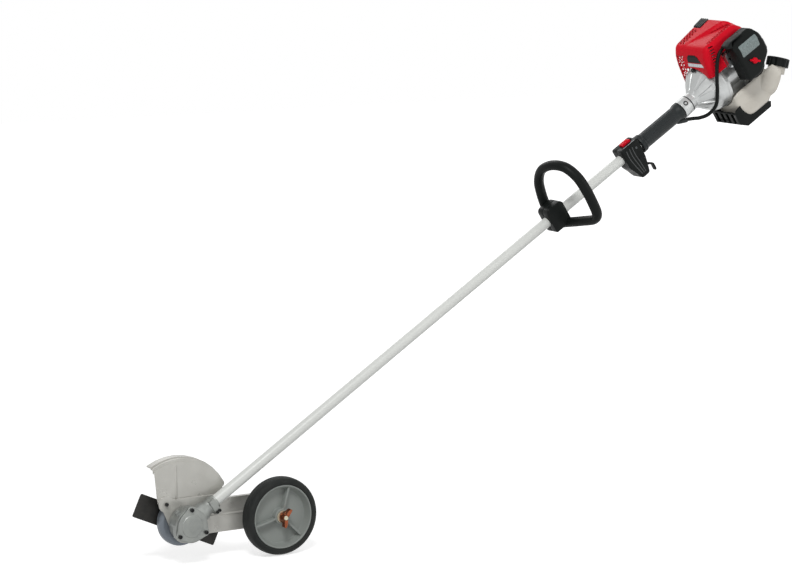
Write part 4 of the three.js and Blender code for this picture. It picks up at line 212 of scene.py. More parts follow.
SLOT_OF = {entry["node"]: entry["material_slot"] for entry in frame["record"]["subparts"]}
BODY_OF = {node: body for body, held in frame["record"]["behaviour"]["bodies"].items() for node in held}
for node, model in frame["nodes"].items():
    model.data.materials.clear()
    model.data.materials.append(FINISHES[SLOT_OF[node]])


# Shapes: each returns (vertices, faces)


def sheeted(grid, round_rows=False, round_columns=False):
    """Quads between neighbouring places of a grid of rows and columns, joined up on itself where told."""
    rows, columns = grid.shape[:2]
    r = np.arange(rows if round_rows else rows - 1)
    c = np.arange(columns if round_columns else columns - 1)
    r, c = (a.ravel() for a in np.meshgrid(r, c, indexing="ij"))
    r2, c2 = (r + 1) % rows, (c + 1) % columns
    faces = np.stack([r * columns + c, r * columns + c2, r2 * columns + c2, r2 * columns + c], -1)
    return grid.reshape(-1, 3), faces.tolist()


def capped(grid):
    """A tube of rings closed at both ends by fans to the ends' middles."""
    vertices, faces = sheeted(grid, round_columns=True)
    rows, columns = grid.shape[:2]
    vertices = np.vstack([vertices, grid[0].mean(0), grid[-1].mean(0)])
    first, last = len(vertices) - 2, len(vertices) - 1
    c = np.arange(columns)
    c2 = (c + 1) % columns
    faces += np.stack([c2, c, np.full(columns, first)], -1).tolist()
    top = (rows - 1) * columns
    faces += np.stack([top + c, top + c2, np.full(columns, last)], -1).tolist()
    return vertices, faces


def eased(profile, radius, steps=4, closed=False):
    """A polyline with each corner cut by a short parabola, at most radius or half of a side along it."""
    points = np.asarray(profile, float)
    count = len(points)
    out = []
    for i, corner in enumerate(points):
        if not closed and i in (0, count - 1):
            out.append(corner[None])
            continue
        before, after = points[i - 1] - corner, points[(i + 1) % count] - corner
        reach_in = min(radius, np.hypot(*before) / 2.1)
        reach_out = min(radius, np.hypot(*after) / 2.1)
        start = corner + before / max(np.hypot(*before), 1e-9) * reach_in
        end = corner + after / max(np.hypot(*after), 1e-9) * reach_out
        t = np.linspace(0, 1, steps + 1)[:, None]
        out.append((1 - t) ** 2 * start + 2 * t * (1 - t) * corner + t ** 2 * end)
    return np.vstack(out)


def turned(place, profile, sides=96, ripple=None, closed=False):
    """A profile of (station, radius) carried round an axis: place(station, r cos a, r sin a), r rippled."""
    profile = np.asarray(profile, float)
    angle = np.linspace(0, 2 * np.pi, sides, endpoint=False)
    station = np.broadcast_to(profile[:, :1], (len(profile), sides))
    radius = np.repeat(profile[:, 1:2], sides, 1)
    if ripple is not None:
        radius = radius + ripple(station, angle[None, :], radius)
    grid = place(station, radius * np.cos(angle), radius * np.sin(angle))
    if closed:
        return sheeted(grid, round_rows=True, round_columns=True)
    return capped(grid)


def about(x, z, place=on_head):
    """Place function of an axis along y through (x, z)."""
    return lambda y, a, b: place(x + a, y, z + b)


def outline_normals(outline):
    """Outward unit directions: each place's chord between its neighbours turned by a right angle."""
    ahead = np.roll(outline, -1, 0) - np.roll(outline, 1, 0)
    normal = np.stack([ahead[:, 1], -ahead[:, 0]], -1)
    normal /= np.maximum(np.hypot(*normal.T), 1e-9)[:, None]
    after = np.roll(outline, -1, 0)
    area = np.sum(outline[:, 0] * after[:, 1] - outline[:, 1] * after[:, 0])
    return normal if area > 0 else -normal


def rolled(edge, ease, steps, way=1):
    """A quarter round as (place, inset) pairs: inset by ease at the edge, flush at ease further in."""
    turn = np.linspace(0, np.pi / 2, steps)[::-1]
    return [(edge + way * ease * (1 - np.sin(t)), ease * (1 - np.cos(t))) for t in turn]


def soft(share):
    """A share eased at both ends: three times its square less twice its cube."""
    return share ** 2 * (3 - 2 * share)


def slab(place, outline, start, end, ease, steps=5):
    """An outline drawn from start to end, its rims rolled in by a quarter round of radius ease."""
    outline = np.asarray(outline, float)
    stations = np.array(rolled(start, ease, steps) + rolled(end, ease, steps, -1)[::-1])
    flat = outline[None] - outline_normals(outline)[None] * stations[:, 1, None, None]
    return capped(place(flat[..., 0], np.broadcast_to(stations[:, :1], flat.shape[:2]), flat[..., 1]))


def swept(path, section, across, round_path=True):
    """A section of (in, across) places carried along a path, square to it, with one cross direction."""
    ahead = (np.roll(path, -1, 0) - np.roll(path, 1, 0)) if round_path else np.gradient(path, axis=0)
    ahead /= np.linalg.norm(ahead, axis=1)[:, None]
    inward = np.cross(across, ahead)
    inward /= np.linalg.norm(inward, axis=1)[:, None]
    side = np.cross(ahead, inward)
    grid = path[:, None] + section[None, :, :1] * inward[:, None] + section[None, :, 1:] * side[:, None]
    if round_path:
        return sheeted(grid, round_rows=True, round_columns=True)
    return capped(grid)


def spline(points, count, closed=False):
    """Catmull-Rom curve through the points, sampled evenly in its parameter."""
    p = np.asarray(points, float)
    spans = len(p) if closed else len(p) - 1
    t = np.linspace(0, spans, count, endpoint=not closed)
    i = np.minimum(t.astype(int), spans - 1)
    f = (t - i)[:, None]

    def at(k):
        """Points by number, round again on a closed curve and held at the ends of an open one."""
        return p[k % len(p)] if closed else p[np.clip(k, 0, len(p) - 1)]

    a, b, c, d = at(i - 1), at(i), at(i + 1), at(i + 2)
    cubic = 2 * b + (c - a) * f + (2 * a - 5 * b + 4 * c - d) * f ** 2 + (3 * b - 3 * c + d - a) * f ** 3
    return 0.5 * cubic


def ring(radius_a, radius_b, count=24):
    """An oval: (radius a times cosine, radius b times sine)."""
    a = np.linspace(0, 2 * np.pi, count, endpoint=False)
    return np.stack([radius_a * np.cos(a), radius_b * np.sin(a)], -1)


def box(place, x0, x1, y0, y1, z0, z1):
    """Six flat sides between two places on each of three directions."""
    corners = ((y0, z0), (y1, z0), (y1, z1), (y0, z1))
    grid = np.array([[(x, y, z) for y, z in corners] for x in (x0, x1)], float)
    return capped(place(grid[..., 0], grid[..., 1], grid[..., 2]))


def long_outline(outline, step):
    """The outline with places no more than about step apart."""
    parts = []
    for a, b in zip(outline, np.roll(outline, -1, 0)):
        count = max(1, int(np.hypot(*(b - a)) // step))
        parts.append(a + (b - a) * np.linspace(0, 1, count, endpoint=False)[:, None])
    return np.vstack(parts)


def inlay(place, outline, radius, shares, proud=0.5, sink=0.6):
    """A plate on a face: copies of its outline, shrunk to their shares, lie proud and the last sinks in."""
    fine = long_outline(eased(outline, radius, closed=True), 2.0)
    middle = fine.mean(0)
    rings = middle + (fine - middle)[None] * np.append(shares, 1.0)[:, None, None]
    depth = np.append(np.full(len(shares), proud), -sink)[:, None]
    return capped(place(rings[..., 0], np.broadcast_to(depth, rings.shape[:2]), rings[..., 1]))


def joined(*shapes):
    """Several shapes as one list of vertices and faces."""
    vertices, faces, start = [], [], 0
    for v, f in shapes:
        vertices.append(v)
        faces += [[i + start for i in face] for face in f]
        start += len(v)
    return np.vstack(vertices), faces


def made(name, shape):
    """A mesh object with its doubles merged and its faces outwards."""
    vertices, faces = shape
    mesh = bpy.data.meshes.new(name)
    mesh.from_pydata(vertices.tolist(), [], faces)
    tidy = bmesh.new()
    tidy.from_mesh(mesh)
    bmesh.ops.remove_doubles(tidy, verts=tidy.verts, dist=1e-6)
    bmesh.ops.dissolve_degenerate(tidy, edges=tidy.edges, dist=1e-7)
    bmesh.ops.recalc_face_normals(tidy, faces=tidy.faces)
    tidy.to_mesh(mesh)
    tidy.free()
    body = bpy.data.objects.new(name, mesh)
    bpy.context.scene.collection.objects.link(body)
    return body


def smoothed(piece, angle=32.0):
    """Smooth shading, kept sharp where faces meet at more than the angle."""
    piece.data.shade_smooth()
    piece.data.set_sharp_from_angle(angle=np.radians(angle))


def dressed(piece, body, slot, replaced=(), material=None, angle=32.0):
    """Gives a piece its finish and body, and hides the nodes that it stands for."""
    piece.data.materials.clear()
    piece.data.materials.append(material or FINISHES[slot])
    smoothed(piece, angle)
    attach(piece, body)
    if replaced:
        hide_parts(*replaced)
    return piece


def form(name, shape, node, angle=32.0):
    """A fine piece that replaces a node, on that node's body."""
    return dressed(made(name, shape), BODY_OF[node], SLOT_OF[node], (node,), angle=angle)


def trim(name, shape, slot, material=None, body="frame"):
    """A small added piece that rides on a body and replaces nothing."""
    return dressed(made(name, shape), body, slot, (), material)


def cut(piece, *shapes):
    """Takes closed shapes away from a piece, in one boolean step."""
    cutter = made("cutter", joined(*shapes))
    step = piece.modifiers.new("cut", "BOOLEAN")
    step.operation = "DIFFERENCE"
    step.solver = "EXACT"
    step.use_self = True
    step.object = cutter
    bpy.context.view_layer.update()
    result = bpy.data.meshes.new_from_object(piece.evaluated_get(bpy.context.evaluated_depsgraph_get()))
    piece.modifiers.clear()
    old = piece.data
    piece.data = result
    bpy.data.meshes.remove(old)
    bpy.data.objects.remove(cutter, do_unlink=True)
    return piece


def softened(node, width=0.0006, segments=2, angle=38.0):
    """A merged copy of a node whose sharp edges are broken by a small bevel."""
    source = frame["nodes"][node]
    mesh = source.data.copy()
    tidy = bmesh.new()
    tidy.from_mesh(mesh)
    bmesh.ops.remove_doubles(tidy, verts=tidy.verts, dist=1e-6)
    bmesh.ops.dissolve_limit(tidy, angle_limit=0.01, verts=tidy.verts, edges=tidy.edges)
    tidy.to_mesh(mesh)
    tidy.free()
    piece = bpy.data.objects.new(node + "_form", mesh)
    bpy.context.scene.collection.objects.link(piece)
    rounding = piece.modifiers.new("edges", "BEVEL")
    rounding.width = width
    rounding.segments = segments
    rounding.limit_method = "ANGLE"
    rounding.angle_limit = np.radians(angle)
    return dressed(piece, BODY_OF[node], SLOT_OF[node], (node,), angle=angle)


# Shaft tube

TUBE_LOW, TUBE_HIGH, TUBE_BORE, TUBE_RADIUS, ON_TUBE = 36.3, 1502, 9.9, 11.5, 11.8
tube_wall = [(TUBE_LOW, TUBE_BORE), (TUBE_LOW, TUBE_RADIUS), (TUBE_HIGH, TUBE_RADIUS),
             (TUBE_HIGH, TUBE_BORE)]
form("tube_form", turned(on_shaft, eased(tube_wall, 0.4, closed=True), closed=True), "shaft_tube")

# Guide wheel: a tyre with two tread lines, and a dished rim with three spokes

wheel_place = about(WHEEL_X, WHEEL_Z)
TYRE_NEAR, TYRE_FAR, TYRE_SEAT, TYRE_RADIUS = -32.0, 4.0, 67.8, 82.5
CROWN, TREAD_LINE, TREAD_LINE_AT = 2.6, 0.9, 0.38
tread = np.linspace(-1, 1, 61)
tread_line = TREAD_LINE * np.exp(-((np.abs(tread) - TREAD_LINE_AT) / 0.035) ** 2)
tread_radius = TYRE_RADIUS - CROWN * np.abs(tread) ** 3 - tread_line
tread_y = (TYRE_NEAR + TYRE_FAR) / 2 + tread * (TYRE_FAR - TYRE_NEAR - 7) / 2
wall = [(TYRE_FAR - 1.2, TYRE_RADIUS - 5.6), (TYRE_FAR, TYRE_RADIUS - 8.5), (TYRE_FAR, TYRE_SEAT + 1.2),
        (TYRE_FAR - 1.2, TYRE_SEAT), (TYRE_NEAR + 1.2, TYRE_SEAT), (TYRE_NEAR, TYRE_SEAT + 1.2),
        (TYRE_NEAR, TYRE_RADIUS - 8.5), (TYRE_NEAR + 1.2, TYRE_RADIUS - 5.6)]
tyre_profile = np.vstack([np.stack([tread_y, tread_radius], -1), wall])
form("tyre_form", turned(wheel_place, tyre_profile, 128, closed=True), "tyre", angle=50)

BARREL, HUB_BORE, HUB_RADIUS, DISH_RADIUS = 67.5, 8.3, 17, 57.7
rim_profile = eased([
    (-27, HUB_BORE), (-27, HUB_RADIUS), (-14, HUB_RADIUS), (-14, DISH_RADIUS), (-24, 62), (-30.8, 64.5),
    (-30.8, BARREL), (2.8, BARREL), (2.8, 64.5), (-9, 60), (-11, DISH_RADIUS), (-11, HUB_RADIUS),
    (13.5, HUB_RADIUS), (13.5, HUB_BORE)], 1.6, closed=True)
spoke_outline = eased([(15, -2.2), (65, -2.2), (65, 2.2), (15, 2.2)], 1.0, closed=True)
spokes = []
for angle in np.radians([75, 195, 315]):
    outward = np.array([np.cos(angle), np.sin(angle)])
    sideways = np.array([-outward[1], outward[0]])

    def spoke_place(r, y, s, o=outward, w=sideways):
        """At r out along the spoke and s to its side, in the wheel's plane at y."""
        return on_head(WHEEL_X + r * o[0] + s * w[0], y, WHEEL_Z + r * o[1] + s * w[1])

    spokes.append(slab(spoke_place, spoke_outline, -27.2, -6, 1.0))
form("rim_form", joined(turned(wheel_place, rim_profile, 112, closed=True), *spokes), "wheel_rim")

# Loop handle and its clamp

SWING, LEAN = np.radians(16.8), np.radians(5.2)
LOOP_STATION, LOOP_SIDE, LOOP_DROP, LOOP_HALF, LOOP_HIGH = 1095.0, -34.0, 28.0, 68.0, 143.0
ROD_THICK, ROD_WIDE, ROD_CLEARANCE = 10.4, 12.6, 0.6
loop_across = np.array([np.sin(SWING), -np.cos(SWING), 0.0])
loop_up = np.array([np.sin(LEAN), 0.0, np.cos(LEAN)])
loop_centre = np.array([LOOP_STATION, LOOP_SIDE, -LOOP_DROP])
half_loop = np.array([
    [0.3, 0], [0.78, 0.01], [0.98, 0.1], [1, 0.3], [0.955, 0.53], [0.82, 0.76], [0.5, 0.94]])
loop_shares = np.vstack([half_loop, [[0, 1]], (half_loop * [-1, 1])[::-1]])
loop_points = (loop_centre + loop_shares[:, :1] * LOOP_HALF * loop_across
               + loop_shares[:, 1:] * LOOP_HIGH * loop_up)


def shaft_points(p):
    """Metres of rows of (u, y, v) places."""
    return on_shaft(p[..., 0], p[..., 1], p[..., 2])


loop_path = shaft_points(spline(loop_points, 150, closed=True))
loop_normal_local = np.cross(loop_across, loop_up)
loop_normal = loop_normal_local[0] * ALONG + loop_normal_local[1] * ACROSS + loop_normal_local[2] * ABOVE
loop_normal /= np.linalg.norm(loop_normal)
rod = swept(loop_path, ring(ROD_THICK, ROD_WIDE, 28) * MM, loop_normal)
rod_hole = swept(loop_path, ring(ROD_THICK + ROD_CLEARANCE, ROD_WIDE + ROD_CLEARANCE, 28) * MM, loop_normal)
tube_hole = turned(on_shaft, [(1030, ON_TUBE), (1115, ON_TUBE)], 48)
clamp_outline = eased([(1048.5, -27), (1095.5, -27), (1095.5, 24), (1089.5, 30), (1054.5, 30), (1048.5, 24)],
                      4, closed=True)
CLAMP_GAP, CLAMP_EDGE = 0.15, 2.0
rod_piece = made("loop_form", rod)
seat_piece = cut(made("loop_seat_form", slab(on_shaft, clamp_outline, CLAMP_GAP, 19, CLAMP_EDGE)),
                 tube_hole)
dressed(rod_piece, BODY_OF["loop_handle"], "black", ("loop_handle",))
dressed(seat_piece, BODY_OF["loop_handle"], "black", ("loop_handle",))
clamp_piece = cut(made("loop_clamp_form", slab(on_shaft, clamp_outline, -20, -CLAMP_GAP, CLAMP_EDGE)),
                  tube_hole, rod_hole)
dressed(clamp_piece, BODY_OF["loop_clamp"], "black", ("loop_clamp",))

# Rear grip: a fluted sleeve with a collar at its foot and the cable's hump under its head

FLUTES_LOW, FLUTES_HIGH, FLUTES_FADE, FLUTE_COUNT, FLUTE_DEPTH = 1352, 1450, 6, 26, 0.45
GRIP_RADIUS, HUMP_FROM, HUMP_LONG = 18.3, 1440, 28


def grip_flutes(station, angle, radius):
    """Shallow lengthwise flutes, a raised cosine round the sleeve, faded out towards both its ends."""
    share = (np.clip((station - FLUTES_LOW) / FLUTES_FADE, 0, 1)
             * np.clip((FLUTES_HIGH - station) / FLUTES_FADE, 0, 1) * (radius > 17))
    return -FLUTE_DEPTH * share * (0.5 + 0.5 * np.cos(FLUTE_COUNT * angle))


grip_profile = np.vstack([
    eased([(1336, ON_TUBE), (1336, 20.6), (1341, 21.4), (1342.4, 19.8), (1343.6, 19.8), (1345, 21),
           (1349, 20), (1351, GRIP_RADIUS)], 0.8),
    np.stack([np.linspace(1352, 1452, 51), np.full(51, GRIP_RADIUS)], -1),
    eased([(1454, GRIP_RADIUS), (1462, 20.6), (1467, 20.8), (1468, 19.9), (1468, ON_TUBE)], 1.5)])


def gland_place(u, a, b):
    """Along the cable's hump on the sleeve's underside: a straight line leaning down and nearer."""
    share = np.clip((u - HUMP_FROM) / HUMP_LONG, 0, 1)
    return on_shaft(u, -5 - 3 * share + a, -13 - 11 * share + b)


hump_profile = eased([(HUMP_FROM, 0), (1446, 4.8), (1462, 6.0), (1469, 5.6), (1469, 0)], 1.6)
gland = turned(gland_place, hump_profile, 36)
sleeve = turned(on_shaft, grip_profile, 156, grip_flutes, closed=True)
form("grip_form", joined(sleeve, gland), "rear_grip")

# Throttle conduit

conduit_route = np.array([
    [1470.4, -8, -24], [1484, -10, -31], [1498, -16, -38], [1514, -30, -38], [1530, -48, -24], [1540, -60, 2],
    [1550, -69, 34], [1566, -72, 64], [1582, -72, 80], [1597, -72, 86]])
CONDUIT_RADIUS = 4.2
conduit_path = shaft_points(spline(conduit_route, 120))
conduit = swept(conduit_path, ring(CONDUIT_RADIUS, CONDUIT_RADIUS, 20) * MM, ACROSS * 0.4 + ABOVE * 0.9,
                round_path=False)
form("conduit_form", conduit, "throttle_conduit")

# Clutch housing: a cone with pockets, behind a split collar

NECK, BELLY, PLUG_END, BELLY_AT, COLLAR = 20.0, 57.0, 1508.0, 1560.0, 21.2
POCKETS, POCKET_DEPTH, POCKETS_FROM, POCKETS_LONG = 10, 3.4, 1509.0, 41.0


def pockets(station, angle, radius):
    """Ten teardrop pockets round the cone, wider towards the belly: two soft steps multiplied."""
    share = (station - POCKETS_FROM) / POCKETS_LONG
    ends = np.clip(share / 0.3, 0, 1) * np.clip((1 - share) / 0.2, 0, 1)
    away = np.abs((angle * POCKETS / (2 * np.pi)) % 1 - 0.5)
    across = np.clip((0.12 + 0.14 * np.clip(share, 0, 1) - away) / 0.1, 0, 1)
    depth = ends * across
    return -POCKET_DEPTH * soft(depth) * (radius > 15)


cone_share = np.linspace(0, 1, 72)
cone = np.stack([PLUG_END + (BELLY_AT - PLUG_END) * cone_share,
                 NECK + (BELLY - NECK) * np.sin(cone_share * np.pi / 2) ** 1.25], -1)
housing_profile = np.vstack([
    eased([(1470, ON_TUBE), (1470, COLLAR), (1493.8, COLLAR), (1493.8, 18.6), (1496.2, 18.6), (1496.2, NECK)],
          0.7),
    np.stack([np.linspace(1497, 1507, 14), np.full(14, NECK)], -1),
    cone, eased([(1561, 57.4), (1570.8, 58.2), (1573.4, 60), (1576, 60), (1576, 54.4), (1560, 52)], 0.8),
    [(1538, 40), (1520, 20), (1512, ON_TUBE)]])
housing = turned(on_shaft, housing_profile, 336, pockets, closed=True)
form("housing_form", housing, "clutch_housing", angle=50)
ring_profile = eased([(1493.0, 17), (1493.0, 20.9), (1496.4, 20.9), (1496.4, 17)], 0.5, closed=True)
trim("collar_ring", turned(on_shaft, ring_profile, 96, closed=True), "black")
BOLT_CIRCLE = 54
bolt_profile = eased([(1566, 0), (1566, 2.2), (1567.6, 2.2), (1567.6, 2.4), (1565.2, 2.6), (1565.2, 4.4),
                      (1573, 4.4), (1573, 0)], 0.35)
bolt_heads = []
for angle in np.radians([45, 135, 225, 315]):

    def bolt_place(u, a, b, y0=BOLT_CIRCLE * np.cos(angle), v0=BOLT_CIRCLE * np.sin(angle)):
        """Along a bolt that lies with the shaft, on the bolt circle."""
        return on_shaft(u, y0 + a, v0 + b)

    bolt_heads.append(turned(bolt_place, bolt_profile, 24))
trim("housing_bolts", joined(*bolt_heads), "screw")
COLLAR_SCREW_AT, COLLAR_SCREW_LEAN = 1482, np.radians(38)


def collar_place(s, a, b):
    """Along the clamping screw of the collar, whose head faces the near upper side."""
    cos, sin = np.cos(COLLAR_SCREW_LEAN), np.sin(COLLAR_SCREW_LEAN)
    return on_shaft(COLLAR_SCREW_AT + a, -s * cos - b * sin, s * sin - b * cos)


collar_screw = eased([(17, 0), (17, 5.6), (21.9, 5.6), (21.9, 3.2), (19.8, 2.9), (19.8, 0)], 0.4)
trim("collar_screw", turned(collar_place, collar_screw, 24), "screw")

# Dust cup behind the gearcase

cup_profile = eased([(20.5, 18.2), (20.5, 44), (22.6, 48.9), (27.5, 51), (38.5, 51), (38.5, 49.4),
                     (27.5, 49.4), (23.5, 47.5), (22.1, 44), (22.1, 18.2)], 0.9, closed=True)
form("cup_form", turned(about(0, 0), cup_profile, 96, closed=True), "dust_cup")

# Gearcase cover: a lobed plate

LOBE_REACH, LOBE_WIDE, LOBES_AT = 42.0, 17, (60, 180, 300)


def lobed(radius, count=168):
    """Polar outline: a circle raised to the lobes by a narrow bell curve round each of three angles."""
    angle = np.linspace(0, 2 * np.pi, count, endpoint=False)
    degrees = np.degrees(angle)
    away = np.min([np.abs((degrees - a + 540) % 360 - 180) for a in LOBES_AT], 0)
    reach = radius + (LOBE_REACH - radius) * np.exp(-(away / LOBE_WIDE) ** 2)
    return np.stack([reach * np.cos(angle), reach * np.sin(angle)], -1)


cover_plate = slab(on_shaft, lobed(32.6), -24.4, -21.0, 1.0)
pad_profile = eased([(-25.8, 0), (-25.8, 22.7), (-24.2, 24.2), (-23.5, 24.2), (-23.5, 0)], 0.6)
cover_pad = turned(about(0, 0, on_shaft), pad_profile, 96)
form("gearcase_cover_form", joined(cover_plate, cover_pad), "gearcase_cover")

# Fuel tank: an outline slab draped under the engine, with its neck

SADDLE, TANK_NEAR, TANK_FAR, TANK_EDGE = 61.4, -64, 58, 9
tank_outline = eased([(1571, -60), (1583, -89), (1597, -97), (1652.5, -97), (1684, -89), (1708, -70),
                      (1722, -52), (1711.5, -35), (1692, -31), (1580, -31)], 13, 6, closed=True)


def draped(u, y, v):
    """Pushes what would enter the engine's round underside down to it."""
    floor = -np.sqrt(np.maximum(SADDLE ** 2 - y ** 2, 0.0))
    return u, y, np.where(np.abs(y) < SADDLE, np.minimum(v, floor), v)


tank_fine = long_outline(tank_outline, 4)
tank_rows = np.array(rolled(TANK_NEAR, TANK_EDGE, 7) + [(y, 0.0) for y in np.linspace(-52, 46, 26)]
                     + rolled(TANK_FAR, TANK_EDGE, 7, -1)[::-1])
tank_flat = tank_fine[None] - outline_normals(tank_fine)[None] * tank_rows[:, 1, None, None]
tank_y = np.broadcast_to(tank_rows[:, :1], tank_flat.shape[:2])
CHANNEL_AT, CHANNEL_WIDE, CHANNEL_DEEP, SHOULDER_DEEP = 1664, 9, 6.5, 7
channel = (np.exp(-((tank_flat[..., 0] - CHANNEL_AT) / CHANNEL_WIDE) ** 2)
           * np.clip((-34 - tank_y) / 24, 0, 1))
shoulder = np.clip((tank_flat[..., 1] + 62) / 20, 0, 1) * np.clip((-40 - tank_y) / 20, 0, 1)
tank_y = tank_y + CHANNEL_DEEP * channel + SHOULDER_DEEP * soft(shoulder)
tank_u, tank_y, tank_v = draped(tank_flat[..., 0], tank_y, tank_flat[..., 1])
NECK_LEAN = np.radians(46)
NECK_AT = np.array([1727.0, -38.0, -48.5])
NECK_RADIUS, NECK_BORE, CAP_ROOM = 20, 15.5, 27.3


def on_neck(s, a, b):
    """Place at s along the tank's neck, a along the shaft's side and b across it."""
    up = np.array([np.sin(NECK_LEAN), 0.0, np.cos(NECK_LEAN)])
    side = np.array([np.cos(NECK_LEAN), 0.0, -np.sin(NECK_LEAN)])
    s, a, b = np.broadcast_arrays(*(np.asarray(q, float) for q in (s, a, b)))
    p = NECK_AT + s[..., None] * up + a[..., None] * side + b[..., None] * ACROSS
    return shaft_points(p)


tank_body = cut(made("tank_form", capped(on_shaft(tank_u, tank_y, tank_v))),
                turned(on_neck, [(-6.8, CAP_ROOM), (34, CAP_ROOM)], 64))
dressed(tank_body, "frame", "tank", ("fuel_tank",))
neck_wall = [(-22, NECK_BORE), (-22, NECK_RADIUS), (0, NECK_RADIUS), (0, NECK_BORE)]
tank_neck = turned(on_neck, eased(neck_wall, 1.0, closed=True), 64, closed=True)
dressed(made("tank_neck_form", tank_neck), "frame", "tank", ("fuel_tank",))
CAP_RADIUS, CAP_LOBES, LOBE_DEEP = 26.2, 10, 2.2


def cap_ribs(station, angle, radius):
    """Broad lobes round the cap: hollows of a raised cosine between them, faded over the top rim."""
    share = np.clip((12.2 - station) / 3, 0, 1) * (radius > 23)
    return -LOBE_DEEP * share * (0.5 + 0.5 * np.cos(CAP_LOBES * angle)) ** 2


cap_profile = np.vstack([
    [(2.6, 0), (2.6, 20.9), (-6.3, 20.9)], eased([(-6.3, 21), (-6.3, CAP_RADIUS), (-4, CAP_RADIUS)], 0.8),
    np.stack([np.linspace(-3.5, 11.5, 10), np.full(10, CAP_RADIUS)], -1),
    eased([(12, 26.1), (13.7, 24), (13.7, 19), (12.3, 17.6), (12.3, 12), (13.5, 10.6), (13.5, 0)], 0.8)])
form("cap_form", turned(on_neck, cap_profile, 180, cap_ribs), "fuel_cap")

# Air cleaner cover, with a plain plate, a visor and a clip

COVER_NEAR, COVER_EDGE, BROW_AT, BROW_HIGH, BROW_DEEP = -110, 6, 71, 26, 15
cleaner_outline = eased([(1600, -5), (1639, -5), (1679, 27), (1679, 71), (1666, 97), (1608.7, 97),
                         (1600, 84)], 9, 6, closed=True)


def brow_lean(v):
    """How far the cover's near face has leaned back at a height: a straight slope above the brow line."""
    return BROW_DEEP * np.clip(v - BROW_AT, 0, None) / BROW_HIGH


def brow_place(u, out, v):
    """On the cover's near face, and out beyond it."""
    return on_shaft(u, COVER_NEAR - out + brow_lean(v), v)


cover_fine = long_outline(cleaner_outline, 5)
cover_normal = outline_normals(cover_fine)
cover_centre = cover_fine.mean(0)
near_shares = np.linspace(0.02, 1, 12)[:-1, None, None]
near_rings = cover_centre + (cover_fine - cover_normal * COVER_EDGE - cover_centre)[None] * near_shares
edge_rows = rolled(COVER_NEAR, COVER_EDGE, 6)
seam_rows = [(-104, 0.0), (-82.6, 0.0), (-82.2, 0.8), (-81.2, 0.8), (-80.8, 0.0), (-78.0, 0.0)]
side_rows = np.array(edge_rows + seam_rows)
side_rings = cover_fine[None] - cover_normal[None] * side_rows[:, 1, None, None]
cover_rows = np.concatenate([near_rings, side_rings])
cover_u, cover_v = cover_rows[..., 0], cover_rows[..., 1]
cover_y = np.concatenate([np.full(len(near_rings), float(COVER_NEAR)), side_rows[:, 0]])
cover_y = np.maximum(np.repeat(cover_y[:, None], len(cover_fine), 1), COVER_NEAR + brow_lean(cover_v))
form("cleaner_cover_form", capped(on_shaft(cover_u, cover_y, cover_v)), "air_cleaner_cover", angle=40)
plate = inlay(brow_place, [(1611, 53), (1664, 53), (1666.5, 79.5), (1613, 79.5)], 3,
              np.linspace(0.04, 1, 14), sink=0.5)
trim("cover_label", plate, "black", LABEL_GREY, body=BODY_OF["air_cleaner_cover"])
visor_outline = eased([(1588, 91), (1603, 84), (1607, 97.5), (1640, 97.5), (1640, 99.5), (1604, 100),
                       (1590, 96)], 2.5, closed=True)
visor = slab(on_shaft, visor_outline, -104, -79, 2.0)
clip_outline = eased([(1671, 24), (1684, 30), (1684, 56), (1671, 66)], 3, closed=True)
clip = slab(on_shaft, clip_outline, -101, -90, 1.6)
trim("cover_visor", joined(visor, clip), "black", body=BODY_OF["air_cleaner_cover"])

# Engine cover: a shell whose far half rises to a crest, with slots through its deck and near face

HOOD_FRONT, HOOD_REAR, HOOD_NEAR, HOOD_FAR, CAGE_FAR = 1541.0, 1677.0, -63.0, 22.0, 56.0
HOOD_TOP, HOOD_SHOULDER, HOOD_WAIST, HOOD_FOOT, HOOD_TAIL = 108.0, 88, 64, 16, 52
WAIST_FRONT, SHOULDER_FRONT, CREST_FROM, CREST_AT, CREST_RISE = 1546.5, 1552, 1564, 1658.0, 10.0
CREASE_AT, CREASE_SIDE, CREASE_SLANT, CREASE_WIDE = 1596, 3, 0.6, 7
HOOD_ROUND, HOOD_EDGE, HOOD_WALL = 9, 11, 2.4


def front_line(v):
    """Where the cover's front face stands along the shaft at a height."""
    return np.interp(v, [HOOD_FOOT, HOOD_WAIST, HOOD_SHOULDER, HOOD_TOP],
                     [HOOD_FRONT, WAIST_FRONT, SHOULDER_FRONT, CREST_FROM])


def hood_outline(inset, low=0.0, drop=0.0):
    """The cover from its near side, drawn in by inset, its tail lower by low and its foot by drop as well."""
    return [(HOOD_FRONT + inset, HOOD_FOOT - low - drop), (WAIST_FRONT + inset, HOOD_WAIST),
            (SHOULDER_FRONT + inset, HOOD_SHOULDER - inset * 0.3),
            (CREST_FROM + inset * 0.5, HOOD_TOP - inset), (CREST_AT, HOOD_TOP - inset),
            (HOOD_REAR - inset, HOOD_SHOULDER - inset * 0.4), (HOOD_REAR - inset, HOOD_TAIL - low)]


def crest_lift(u):
    """How far the crest stands above the top at a station: a straight ramp, held at both ends."""
    return CREST_RISE * np.clip((u - CREST_FROM) / (CREST_AT - CREST_FROM), 0, 1)


def crested(u, y, v):
    """Lifts the top beyond a slanting crease, more towards the rear: three clipped ramps multiplied."""
    beyond = np.clip((y + CREASE_SLANT * (u - CREASE_AT) + CREASE_SIDE) / CREASE_WIDE, 0, 1)
    upper = np.clip((v - HOOD_SHOULDER) / (HOOD_TOP - HOOD_SHOULDER), 0, 1)
    return u, y, v + crest_lift(u) * soft(beyond) * upper


